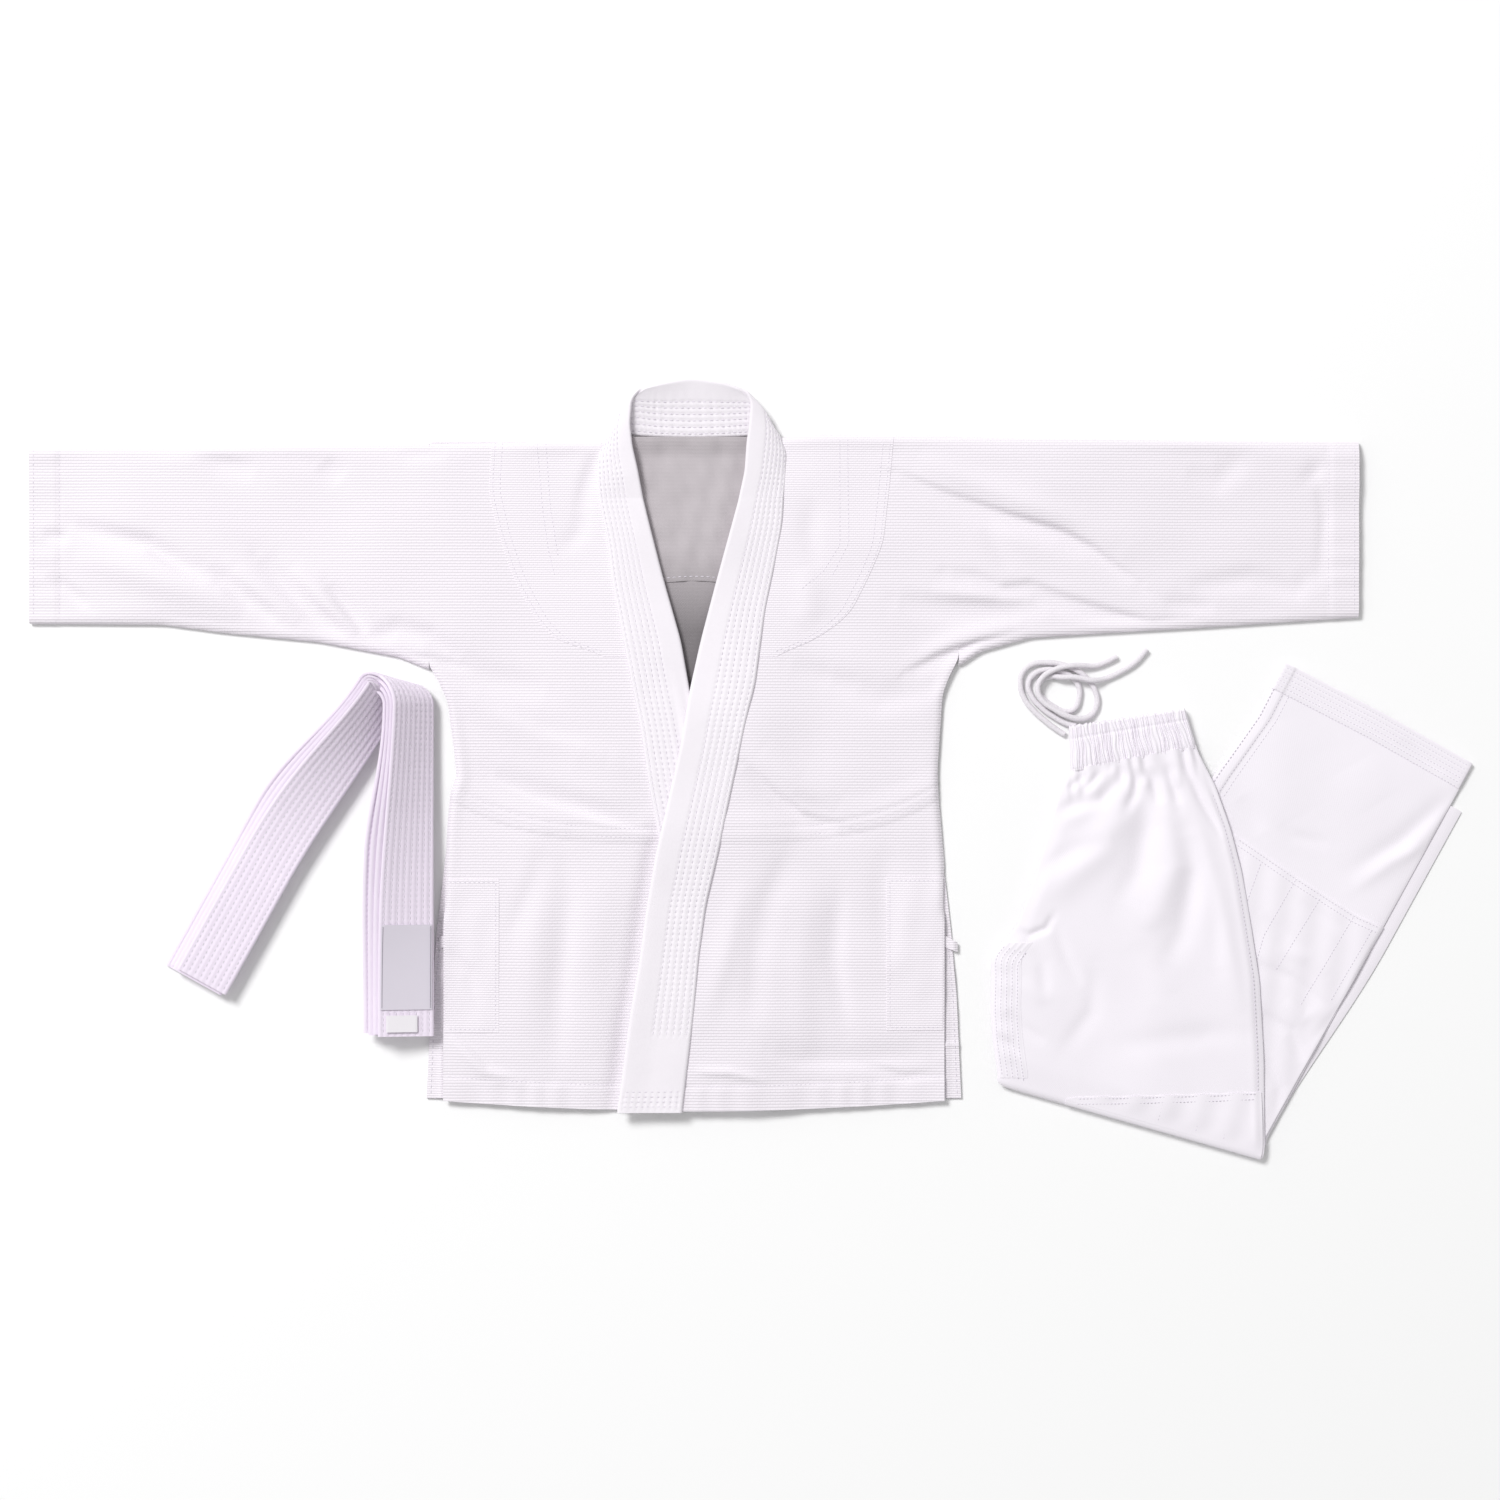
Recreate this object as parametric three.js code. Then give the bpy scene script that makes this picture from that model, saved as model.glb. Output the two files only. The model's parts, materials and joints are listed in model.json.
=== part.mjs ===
// A child's martial arts uniform laid out flat: a jacket with its left front over its right front,
// a white belt folded to four layers and bent into a V, and drawstring trousers folded at the knee.
// Millimetres, +Z up, everything lying on z = 0. Left and right are as seen from above.
import * as THREE from "three";

// ---- Driving dimensions: cloth ----
const gap = 0.3; // air between pieces that touch
const pearlCloth = 1.4; // jacket body and sleeves
const drillCloth = 0.8; // trouser panels
const facingCloth = 0.7; // patches, facings and the yoke
const collarThickness = 4; // the stitched collar band
const airInside = 2.4; // between the jacket's back and its front

// ---- Driving dimensions: jacket ----
const halfSpan = 597; // centre line to the end of a cuff
const jacketLength = 593; // shoulder to hem at the side
const hemSag = 9; // how much lower the hem hangs at the centre
const bodyHalf = 220; // centre line to the side seam at the waist
const frontHalf = 225; // centre line to the slit edge of a front
const backHalf = 241; // centre line to the corner of the back hem
const armholeX = 226; // centre line to the sleeve seam
const armpitDrop = 236; // shoulder to the lowest point of the armhole
const foldFromCuff = 211; // cuff to the crosswise fold of a sleeve
const cuffWidth = 159; // flat width of the sleeve at the cuff
const sleeveAtFold = 175; // flat width of the sleeve at its fold
const cuffFacingWidth = 24;
const hemFacingWidth = 22;
const seamDrop = 360; // shoulder to the chest seam at the centre
const seamRise = 40; // how much the seam climbs towards the sides
const slitDrop = 446; // shoulder to the top of the side slit
const ventPatch = { width: 50, top: 392, bottom: 530 };
const yoke = { halfWidth: 96, bottom: 128, round: 16 };

// ---- Driving dimensions: collar ----
const neckHalf = 80; // centre line to the neck end of a front's fold line
const neckOpeningHalf = 47; // centre line to the inside of the collar at the neck
const collarHeight = 54; // how far the back of the collar lies above the shoulder
const collarRoll = 9; // height of the rolled collar behind the neck
const lapelTop = 9; // shoulder to the upper end of a lapel
const lapelWidth = 56; // measured across, along the hem line
const lapelTaper = 22; // how much narrower it is at the neck

// ---- Driving dimensions: belt ----
const beltWidth = 50;
const beltStack = 17; // four layers of stitched belt
const bendRadius = 20; // outside of the bend, on the floor
const vAngle = THREE.MathUtils.degToRad(29); // between the two runs
const leftRunLength = 312;
const rightRunLength = 296;
const beltFromJacket = 7; // clear of the front that swings up beside it
const bendBelowArmpit = 2; // centre of the bend to the armpit's lowest point
const spreadRoom = 42; // left run starts this far from the bend, so that it can swing
const beltLabel = { start: 196, length: 76, margin: 2, thickness: 0.6 };
const sizeTag = { start: 277, length: 15, inset: 15, width: 28, thickness: 0.5 };

// ---- Driving dimensions: trousers, measured from the left end of the knee fold ----
const kneeWidth = 248.7; // along the fold
const kneeTurn = THREE.MathUtils.degToRad(-15.75); // the fold's direction on the floor
const trousersFromJacket = 31.5; // back hem corner to the fold's left end
const trousersBelowSleeve = 31; // sleeve's underside to the hem's upper corner
const shinLeft = { knee: 18, hem: 147 };
const shinRight = { knee: 248, hem: 335.5 };
const hemCorner = { left: 427.6, right: 385.4 }; // heights of the hem's two ends above the fold
const outerHemShort = 41; // the outer leg's hem lies this much nearer the fold
const outerShift = 3.5;
const legHemWidth = 20;
const kneePatchTop = { left: 275, right: 223 };
const waistWidth = 105.6; // the gathered waistband, end to end
const waistTurn = THREE.MathUtils.degToRad(24.6);
const waistHeight = 42;
const waistEdge = 4.2; // thickness of one gathered half of the waistband
const elastic = { thickness: 1.2, margin: 6 };
const cordDiameter = 5;

// ---- Levels worked out from the sizes above ----
const frontLevel = pearlCloth + airInside;
const frontTop = frontLevel + pearlCloth;
const patchLevel = frontTop + gap;
const foldLevel = patchLevel + facingCloth + 0.2; // axis height of the fronts and the sleeves
const foldX = halfSpan - foldFromCuff;
const jointRoom = 1.6; // between two pieces that a fold joins

const colours = {
  pearl: 0xf4eff5, drill: 0xf2edf5, band: 0xf1ecf3, belt: 0xe3dbe8, label: 0xa9a3ad,
  tag: 0xf3f1f3, inside: 0xb9b2b9, elastic: 0xe9e6ea, cord: 0xf3f0f4,
};

function cloth(name, colour, geometry, roughness = 0.9) {
  const material = new THREE.MeshStandardMaterial({ color: colour, roughness, metalness: 0 });
  const mesh = new THREE.Mesh(geometry, material);
  mesh.name = name;
  return mesh;
}

// A flat piece of cloth from its outline, a list of [x, y].
function sheet(name, colour, outline, level, thickness) {
  const shape = new THREE.Shape(outline.map(([x, y]) => new THREE.Vector2(x, y)));
  const geometry = new THREE.ExtrudeGeometry(shape, { depth: thickness, bevelEnabled: false });
  return cloth(name, colour, geometry.translate(0, 0, level));
}

// Points along a rule from 0 to 1, both ends included.
function along(count, rule) {
  return Array.from({ length: count + 1 }, (_, i) => rule(i / count));
}

const mix = THREE.MathUtils.lerp;

// ---- Jacket outlines, for the right side; side = -1 mirrors them ----
const seamY = (x) => seamRise * Math.min(1.2, Math.abs(x) / bodyHalf) ** 3.5 - seamDrop;
const hemY = (x) => -jacketLength - hemSag * Math.max(0, 1 - (x / frontHalf) ** 2);
const foldLineX = (y) => mix(neckHalf, frontHalf, (-y - 5) / (slitDrop - 5));
const foldLineTurn = Math.atan2(frontHalf - neckHalf, slitDrop - 5);
const sideX = (y) => bodyHalf + 5 * THREE.MathUtils.smoothstep(-y, 0.7 * slitDrop, slitDrop);
const sleeveTop = (x) => -3 * (Math.abs(x) - armholeX) / (halfSpan - armholeX);
const sleeveUnder = (x) => mix(-sleeveAtFold, -cuffWidth - 3, (x - foldX) / (halfSpan - foldX));

// The lapel's inner edge runs from the neck to the hem; s is the share of the way down.
const lapelY = (s) => mix(-lapelTop, hemY(0) - 2, s);
const lapelInner = (s) => neckOpeningHalf - 123 * s - 71 * s ** 2 + 79 * s ** 3;
const lapelSpan = (s) => lapelWidth - lapelTaper * Math.max(0, 1 - s / 0.35) ** 2;
const lapelOuter = (s) => Math.min(lapelInner(s) + lapelSpan(s), foldLineX(lapelY(s)) - 4);
const lapelShare = (y) => (-y - lapelTop) / (-lapelTop - lapelY(1));
const mirrored = (side, outline) => outline.map(([x, y]) => [side * x, y]);

const jacket = new THREE.Group();

function backPieces() {
  const seam = along(24, (t) => [mix(-bodyHalf, bodyHalf, t), seamY(mix(-bodyHalf, bodyHalf, t))]);
  const shoulder = [[armholeX - gap, 0], [neckHalf, 0], [neckHalf, -5], [-neckHalf, -5],
    [-neckHalf, 0], [-armholeX + gap, 0]];
  const body = [...shoulder, [-armholeX + gap, -armpitDrop], ...seam, [armholeX - gap, -armpitDrop]];
  const skirtSide = [[bodyHalf + 5, -slitDrop], [backHalf - 2, mix(-slitDrop, -jacketLength, 0.6)],
    [backHalf, -jacketLength]];
  const hem = along(12, (t) => [mix(backHalf - 1, 1 - backHalf, t), hemY(mix(backHalf, -backHalf, t))]);
  const skirt = [...seam.map(([x, y]) => [x, y - gap]), ...skirtSide, ...hem,
    ...mirrored(-1, skirtSide).reverse()];
  const facing = [...hem.map(([x, y]) => [x * 0.9, y + 1]),
    ...hem.map(([x, y]) => [x * 0.9, y + hemFacingWidth]).reverse()];
  const yokeEdge = along(12, (t) => {
    const x = mix(yoke.halfWidth, -yoke.halfWidth, t);
    return [x, -yoke.bottom + yoke.round * (x / yoke.halfWidth) ** 4];
  });
  const yokeOutline = [[-yoke.halfWidth, -9], [yoke.halfWidth, -9], ...yokeEdge];
  jacket.add(
    sheet("back_body", colours.pearl, body, 0, pearlCloth),
    sheet("back_skirt", colours.pearl, skirt, 0, pearlCloth),
    sheet("back_hem_facing", colours.pearl, facing, pearlCloth + gap, facingCloth),
    sheet("inner_neck_yoke", colours.inside, yokeOutline, pearlCloth + gap, facingCloth),
  );
}

// The collar behind the neck, lying back beyond the shoulder line.
function neckCollar() {
  const arch = along(20, (t) => {
    const turn = Math.PI * t;
    const square = 0.72; // below 1 the arch is squarer than an ellipse
    const x = Math.sign(Math.cos(turn)) * Math.abs(Math.cos(turn)) ** 1.15 * (neckHalf - 1);
    return [x, Math.sin(turn) ** square * collarHeight];
  });
  const inside = [[-neckHalf + 1, -4], [-neckOpeningHalf, -4], [-neckOpeningHalf, 1],
    [neckOpeningHalf, 1], [neckOpeningHalf, -4], [neckHalf - 1, -4]];
  jacket.add(sheet("neck_collar", colours.band, [...arch, ...inside], 0, collarRoll));
}

function sidePieces(side, word) {
  const line = (y) => [foldLineX(y) + jointRoom / 2, y];
  const seamEdge = along(4, (t) => mix(foldLineX(seamY(190)) + 1, sideX(seamY(190)) - 1, t));
  const seam = seamEdge.map((x) => [x, seamY(x)]);
  const upper = [[neckHalf + 2, 0], [armholeX - gap, 0], [armholeX - gap, -armpitDrop],
    [sideX(-armpitDrop), -armpitDrop - 3], ...seam.slice().reverse(), line(-8)];
  const lower = [...seam.map(([x, y]) => [x, y - gap]), [frontHalf, -slitDrop + 3],
    line(-slitDrop + 4)];
  const patchEdge = along(8, (t) => [mix(188, 140, t ** 2.4), mix(-1, -150, t)]);
  const patch = [[neckHalf + 6, -1], ...patchEdge, line(-150), line(-12)];
  const gusset = [[frontHalf - 14, -slitDrop - 1], [frontHalf + 1, -slitDrop + 1],
    [frontHalf + 11, -slitDrop - 13], [frontHalf - 4, -slitDrop - 20]];
  const facing = [[frontHalf - 6, -slitDrop - 24], [frontHalf + 7, -slitDrop - 24],
    [backHalf - 2, -jacketLength + hemFacingWidth + 4], [frontHalf - 1, -jacketLength + hemFacingWidth + 4]];
  jacket.add(
    sheet(word + "_side_front", colours.pearl, mirrored(side, upper), frontLevel, pearlCloth),
    sheet(word + "_side_skirt", colours.pearl, mirrored(side, lower), frontLevel, pearlCloth),
    sheet(word + "_shoulder_patch", colours.pearl, mirrored(side, patch), patchLevel, facingCloth),
    sheet(word + "_vent_gusset", colours.drill, mirrored(side, gusset), pearlCloth + gap, facingCloth),
    sheet(word + "_vent_facing", colours.pearl, mirrored(side, facing), pearlCloth + gap, facingCloth),
  );
}

function sleeve(side, word) {
  const underarm = new THREE.QuadraticBezierCurve(
    new THREE.Vector2(armholeX + 0.48 * (foldX - armholeX), sleeveUnder(foldX)),
    new THREE.Vector2(armholeX + 4, -sleeveAtFold - 8),
    new THREE.Vector2(armholeX + gap, -armpitDrop),
  );
  const upper = [[armholeX + gap, 0], [foldX - jointRoom / 2, sleeveTop(foldX)],
    [foldX - jointRoom / 2, sleeveUnder(foldX)], ...underarm.getPoints(8).map((p) => [p.x, p.y])];
  const start = foldX + jointRoom / 2;
  const lower = [[start, sleeveTop(start)], [halfSpan, sleeveTop(halfSpan)],
    [halfSpan, sleeveUnder(halfSpan)], [start, sleeveUnder(start)]];
  const facingStart = halfSpan - cuffFacingWidth;
  const facing = [[facingStart, sleeveTop(facingStart) - 3], [halfSpan - 1, sleeveTop(halfSpan) - 3],
    [halfSpan - 1, sleeveUnder(halfSpan) + 3], [facingStart, sleeveUnder(facingStart) + 3]];
  const facingLevel = frontLevel - gap - facingCloth;
  for (const [face, level] of [["back", 0], ["front", frontLevel]]) {
    jacket.add(
      sheet(`${word}_upper_sleeve_${face}`, colours.pearl, mirrored(side, upper), level, pearlCloth),
      sheet(`${word}_lower_sleeve_${face}`, colours.pearl, mirrored(side, lower), level, pearlCloth),
    );
  }
  jacket.add(sheet(word + "_cuff_facing", colours.pearl, mirrored(side, facing), facingLevel, facingCloth));
}

// One front with its lapel, drawn flat for the right side, then mirrored or tilted.
function frontPieces(side, word) {
  const group = new THREE.Group();
  const line = (y) => [foldLineX(y) - jointRoom / 2, y];
  const seamAtLapel = lapelShare(seamY(lapelOuter(0.6)));
  const lapelSide = (from, to) => along(10, (t) => {
    const s = mix(from, to, t);
    return [lapelOuter(s) + gap, lapelY(s)];
  });
  const seamStart = foldLineX(seamY(180)) - 2;
  const seam = along(8, (t) => mix(seamStart, lapelOuter(seamAtLapel) + gap, t))
    .map((x) => [x, seamY(x)]);
  const upper = [...seam, ...lapelSide(seamAtLapel - 0.004, 0.05).slice(1), line(lapelY(0.06) + 3)];
  const hem = along(8, (t) => mix(lapelOuter(1) + gap, frontHalf, t)).map((x) => [x, hemY(x)]);
  const skirt = [...seam.map(([x, y]) => [x, y - gap]).reverse(), line(-slitDrop + 6),
    [frontHalf, -slitDrop - 4], ...hem.slice().reverse(), ...lapelSide(1, seamAtLapel + 0.004).slice(1, -1)];
  const lapel = [...along(16, (s) => [lapelInner(s), lapelY(s)]),
    ...along(16, (t) => [lapelOuter(1 - t), lapelY(1 - t)])];
  const facing = [...hem.slice(1).map(([x, y]) => [x - 2, y + 1]),
    ...hem.slice(1).map(([x, y]) => [x - 2, y + hemFacingWidth]).reverse()];
  const patchLeft = frontHalf - 1 - ventPatch.width;
  const patch = [[patchLeft, -ventPatch.top], [foldLineX(-ventPatch.top) - 2, -ventPatch.top],
    [frontHalf - 1, -slitDrop - 6], [frontHalf - 1, -ventPatch.bottom], [patchLeft, -ventPatch.bottom]];
  const facingLevel = frontLevel - gap - facingCloth;
  group.add(
    sheet(word + "_front", colours.pearl, mirrored(side, upper), frontLevel, pearlCloth),
    sheet(word + "_front_skirt", colours.pearl, mirrored(side, skirt), frontLevel, pearlCloth),
    sheet(word + "_lapel", colours.band, mirrored(side, lapel), frontLevel, collarThickness),
    sheet(word + "_hem_facing", colours.pearl, mirrored(side, facing), facingLevel, facingCloth),
    sheet(word + "_vent_patch", colours.pearl, mirrored(side, patch), patchLevel, facingCloth),
  );
  return group;
}

// The over front lies on the lapel of the under front, so it is turned up a little about its fold line.
function overFront() {
  const reach = along(40, (s) => s).filter((s) => lapelInner(s) < 0).map((s) => {
    const across = foldLineX(lapelY(s)) + lapelInner(s);
    return across * Math.cos(foldLineTurn);
  });
  const lift = collarThickness + 2 * gap;
  const tilt = Math.asin(lift / (Math.min(...reach) - 1));
  const foldLine = new THREE.Vector3(-Math.sin(foldLineTurn), Math.cos(foldLineTurn), 0);
  const turned = new THREE.Group();
  turned.position.set(neckHalf, -5, foldLevel);
  turned.quaternion.setFromAxisAngle(foldLine, tilt);
  const pieces = frontPieces(1, "over");
  pieces.position.set(-neckHalf, 5, -foldLevel);
  turned.add(pieces);
  return turned;
}

backPieces();
neckCollar();
for (const [side, word] of [[-1, "left"], [1, "right"]]) {
  sidePieces(side, word);
  sleeve(side, word);
}
jacket.add(frontPieces(-1, "under"), overFront());

// ---- Belt ----
// A solid through a row of four-cornered sections, closed at both ends.
function loft(sections) {
  const positions = sections.flat().flatMap((p) => [p.x, p.y, p.z]);
  const index = [];
  const quad = (a, b, c, d) => index.push(a, b, c, a, c, d);
  for (let i = 0; i + 1 < sections.length; i += 1) {
    for (let k = 0; k < 4; k += 1) {
      const next = (k + 1) % 4;
      quad(4 * i + k, 4 * i + next, 4 * i + 4 + next, 4 * i + 4 + k);
    }
  }
  const last = 4 * (sections.length - 1);
  quad(3, 2, 1, 0);
  quad(last, last + 1, last + 2, last + 3);
  const geometry = new THREE.BufferGeometry();
  geometry.setAttribute("position", new THREE.Float32BufferAttribute(positions, 3));
  geometry.setIndex(index);
  geometry.computeVertexNormals();
  return geometry;
}

const arcLength = bendRadius * (Math.PI - vAngle);

// Where the strip's lower edge runs and how it leans, by the distance from the left end of the bend.
function beltFrame(distance) {
  const turned = THREE.MathUtils.clamp(distance / bendRadius, 0, Math.PI - vAngle);
  const angle = Math.PI - vAngle - turned; // from the +X axis to the point on the bend
  const point = new THREE.Vector3(Math.cos(angle), Math.sin(angle), 0).multiplyScalar(bendRadius);
  const forward = new THREE.Vector3(Math.sin(angle), -Math.cos(angle), 0);
  const beyond = distance < 0 ? distance : Math.max(0, distance - arcLength);
  point.addScaledVector(forward, beyond);
  const share = distance < 0 ? -distance / leftRunLength : beyond / rightRunLength;
  const flat = distance < 0 ? 0 : 10;
  const settle = THREE.MathUtils.smoothstep(share, -0.05, distance < 0 ? 0.62 : 0.95);
  const rise = THREE.MathUtils.degToRad(mix(50, flat, settle));
  const leanTurn = Math.PI - vAngle * (1 - turned / (Math.PI - vAngle));
  const lean = new THREE.Vector3(Math.cos(leanTurn) * Math.cos(rise),
    Math.sin(leanTurn) * Math.cos(rise), Math.sin(rise));
  const inward = new THREE.Vector3().crossVectors(forward, lean).normalize();
  point.z = Math.max(0, -beltStack * inward.z);
  if (distance > 0) point.z += (pearlCloth + facingCloth + 2 * gap) * THREE.MathUtils.smoothstep(share, 0.2, 0.6);
  return { point, lean, inward };
}

function beltCorner(frame, across, depth) {
  return frame.point.clone().addScaledVector(frame.lean, across).addScaledVector(frame.inward, depth);
}

function beltSolid(from, to, steps, across, depth) {
  return loft(along(steps, (t) => {
    const frame = beltFrame(mix(from, to, t));
    return [beltCorner(frame, across[0], depth[0]), beltCorner(frame, across[1], depth[0]),
      beltCorner(frame, across[1], depth[1]), beltCorner(frame, across[0], depth[1])];
  }));
}

const belt = new THREE.Group();
belt.position.set(-frontHalf - beltFromJacket - bendRadius, -armpitDrop - bendBelowArmpit, 0);
const runStart = arcLength * 0.55;
const rightEnd = arcLength + rightRunLength;
belt.add(
  cloth("belt_left_run", colours.belt,
    beltSolid(-leftRunLength, -spreadRoom, 12, [0, beltWidth], [0, beltStack])),
  cloth("belt_right_run", colours.belt, beltSolid(runStart, rightEnd, 18, [0, beltWidth], [0, beltStack])),
  cloth("belt_label", colours.label, beltSolid(
    arcLength + beltLabel.start, arcLength + beltLabel.start + beltLabel.length, 6,
    [beltLabel.margin, beltWidth - beltLabel.margin], [-gap - beltLabel.thickness, -gap]), 0.4),
  cloth("belt_size_tag", colours.tag, beltSolid(
    arcLength + sizeTag.start, arcLength + sizeTag.start + sizeTag.length, 2,
    [sizeTag.inset, sizeTag.inset + sizeTag.width], [-gap - sizeTag.thickness, -gap])),
);

// ---- Trousers ----
// The knee fold is the local X axis, and the legs lie on its +Y side. The outer leg goes round the
// outside of the fold: its shin is at the bottom of the pile and its thigh on top.
const trousers = new THREE.Group();
const layer = drillCloth + gap;
const shinLevels = { outer_shin_front: 0, outer_shin_back: 1, inner_shin_back: 2, inner_shin_front: 3 };
const thighLevels = { inner_thigh_front: 0, inner_thigh_back: 1, outer_thigh_back: 2, outer_thigh_front: 3 };
const shinTop = 4 * layer;
const kneeLevel = shinTop + facingCloth + gap / 2; // axis height of the knee fold
const thighBase = kneeLevel + gap / 2;
const foldRoom = 2;

function shinOutline(shorter, shift) {
  const share = 1 - shorter / hemCorner.left;
  return [[shinLeft.knee + shift, foldRoom],
    [mix(shinLeft.knee, shinLeft.hem, share) + shift, hemCorner.left - shorter],
    [mix(shinRight.knee, shinRight.hem, share) + 2 * shift, hemCorner.right - shorter],
    [shinRight.knee, foldRoom]];
}

function onShin(acrossShare, upShare) {
  const [lowLeft, highLeft, highRight, lowRight] = shinOutline(0, 0);
  const left = [mix(lowLeft[0], highLeft[0], upShare), mix(lowLeft[1], highLeft[1], upShare)];
  const right = [mix(lowRight[0], highRight[0], upShare), mix(lowRight[1], highRight[1], upShare)];
  return [mix(left[0], right[0], acrossShare), mix(left[1], right[1], acrossShare)];
}

const waistCorner = new THREE.Vector2(-23.7, 319.6); // upper left corner of the waistband
const waistPoint = (across, down) => {
  const x = waistCorner.x + across * Math.cos(waistTurn) + down * Math.sin(waistTurn);
  return [x, waistCorner.y + across * Math.sin(waistTurn) - down * Math.cos(waistTurn)];
};

function thighOutline(inset) {
  const outseam = new THREE.CubicBezierCurve(
    new THREE.Vector2(kneeWidth - inset, foldRoom), new THREE.Vector2(210 - inset, 115),
    new THREE.Vector2(190 - inset, 210), new THREE.Vector2(102 - inset, 322 - inset));
  const waist = [waistPoint(waistWidth - inset, waistHeight + 1), waistPoint(inset, waistHeight + 1)];
  const inseam = [[-16 + inset, 262], [-17 + inset, 200], [-21 + inset, 135], [-35 + inset, 103],
    [-30 + inset, 84], [-14 + inset, 30], [1 + inset, foldRoom]];
  return [...outseam.getPoints(8).map((p) => [p.x, p.y]), ...waist, ...inseam];
}

function legPieces() {
  for (const [name, count] of Object.entries(shinLevels)) {
    const outer = name.startsWith("outer");
    const outline = shinOutline(outer ? outerHemShort : 0, outer ? outerShift : 0);
    trousers.add(sheet(name, colours.drill, outline, count * layer, drillCloth));
  }
  for (const [name, count] of Object.entries(thighLevels)) {
    const inset = name.startsWith("inner") ? 3 : 0;
    trousers.add(sheet(name, colours.drill, thighOutline(inset), thighBase + count * layer, drillCloth));
  }
}

function legTrims() {
  const legLength = hemCorner.left - foldRoom;
  const patchLeft = kneePatchTop.left / hemCorner.left;
  const patchRight = kneePatchTop.right / hemCorner.right;
  const kneePatch = [onShin(0.01, 0.005), onShin(0.01, patchLeft), onShin(0.99, patchRight),
    onShin(0.99, 0.005)];
  const hemShare = 1 - legHemWidth / legLength;
  const hem = [onShin(0.005, hemShare), onShin(0.005, 0.998), onShin(0.995, 0.998), onShin(0.995, hemShare)];
  const top = thighBase + 4 * layer;
  const thighPatch = [[73, foldRoom], [145, 25], [226, 48], [232, 40], [kneeWidth - 2, foldRoom]];
  const gusset = [[-33, 102], [-28, 84], [-12, 31], [2, foldRoom], [25, foldRoom], [2, 68], [-14, 114]];
  trousers.add(
    sheet("inner_knee_patch", colours.drill, kneePatch, shinTop, facingCloth),
    sheet("inner_leg_hem", colours.drill, hem, shinTop, facingCloth),
    sheet("outer_knee_patch", colours.drill, thighPatch, top, facingCloth),
    sheet("crotch_gusset", colours.drill, gusset, top, facingCloth),
  );
}

function waistPieces() {
  const outline = [waistPoint(0, 0), waistPoint(waistWidth, 0), waistPoint(waistWidth, waistHeight),
    waistPoint(0, waistHeight)];
  const strip = [waistPoint(1, elastic.margin), waistPoint(waistWidth - 1, elastic.margin),
    waistPoint(waistWidth - 1, waistHeight - elastic.margin), waistPoint(1, waistHeight - elastic.margin)];
  const elasticLevel = waistEdge + 2 * gap;
  const upperLevel = elasticLevel + elastic.thickness + gap;
  trousers.add(
    sheet("waistband_under", colours.drill, outline, gap, waistEdge),
    sheet("waist_elastic", colours.elastic, strip, elasticLevel, elastic.thickness),
    sheet("waistband_over", colours.drill, outline, upperLevel, waistEdge),
  );
}

legPieces();
legTrims();
waistPieces();
const hemCornerHeight = shinLeft.hem * Math.sin(kneeTurn) + hemCorner.left * Math.cos(kneeTurn);
trousers.position.set(backHalf + trousersFromJacket,
  -sleeveAtFold + 3 - trousersBelowSleeve - hemCornerHeight, 0);
trousers.rotation.z = kneeTurn;

// ---- Drawstring: both ends leave the waistband's upper left corner and lie in loops ----
// Points are measured from that corner, along the uniform's own axes.
const overEnd = [
  [-3.4, -3.4, 2.6], [-10.5, 1, 2.6], [-20.5, 8.6, 2.6], [-31.5, 18.5, 2.6], [-39.8, 29.5, 2.6],
  [-43, 41, 2.6], [-41, 52, 2.6], [-32, 59.7, 2.6], [-19, 61.2, 2.6], [-6, 59.5, 2.6], [6, 55, 2.6],
  [17, 47, 2.6], [24.5, 35, 2.6], [26, 24, 2.6], [21, 14.5, 3], [11.5, 10.8, 5.8], [0, 12.6, 8],
  [-12, 18.5, 8.1], [-23.5, 27, 7.9], [-27.8, 37, 7.9], [-24, 47, 8], [-13, 54.5, 8.1], [0, 58, 8.1],
  [12, 58.5, 6], [23, 58, 3], [33, 61, 2.6], [44, 66.5, 2.6],
];
const underEnd = [
  [7, 4.5, 2.6], [-2.5, 6.6, 2.6], [-12.3, 12, 2.6], [-24, 20.6, 2.6], [-33, 31.2, 2.6],
  [-36, 41.5, 2.6], [-31, 50.3, 2.6], [-20, 54.8, 2.6], [-8, 53.2, 2.6], [3, 48.5, 2.6],
  [9.5, 39.5, 2.6], [9.8, 29, 2.6], [6, 20, 2.6], [-2, 17.2, 2.6], [-12, 21, 2.6], [-21.5, 28, 2.6],
  [-27.3, 37, 2.6], [-24, 45.2, 2.6], [-15.5, 48.7, 3.6], [-6.5, 47.9, 6.4], [3, 48, 8.1], [13, 46.6, 8.1],
  [22, 45, 7.6], [33, 46.6, 3], [47.5, 53, 2.6], [60, 61, 2.6], [71, 73, 2.6],
];

function cord(name, points) {
  const route = new THREE.CatmullRomCurve3(points.map((p) => new THREE.Vector3(...p)), false, "centripetal");
  const section = new THREE.Shape();
  const sides = 8;
  for (let i = 0; i < sides; i += 1) {
    const turn = (2 * Math.PI * (i + 0.5)) / sides;
    const method = i ? "lineTo" : "moveTo";
    section[method]((cordDiameter / 2) * Math.cos(turn), (cordDiameter / 2) * Math.sin(turn));
  }
  const steps = Math.min(40, Math.round(route.getLength() / (2 * cordDiameter)));
  return cloth(name, colours.cord, new THREE.ExtrudeGeometry(section, { steps, extrudePath: route }));
}

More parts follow.
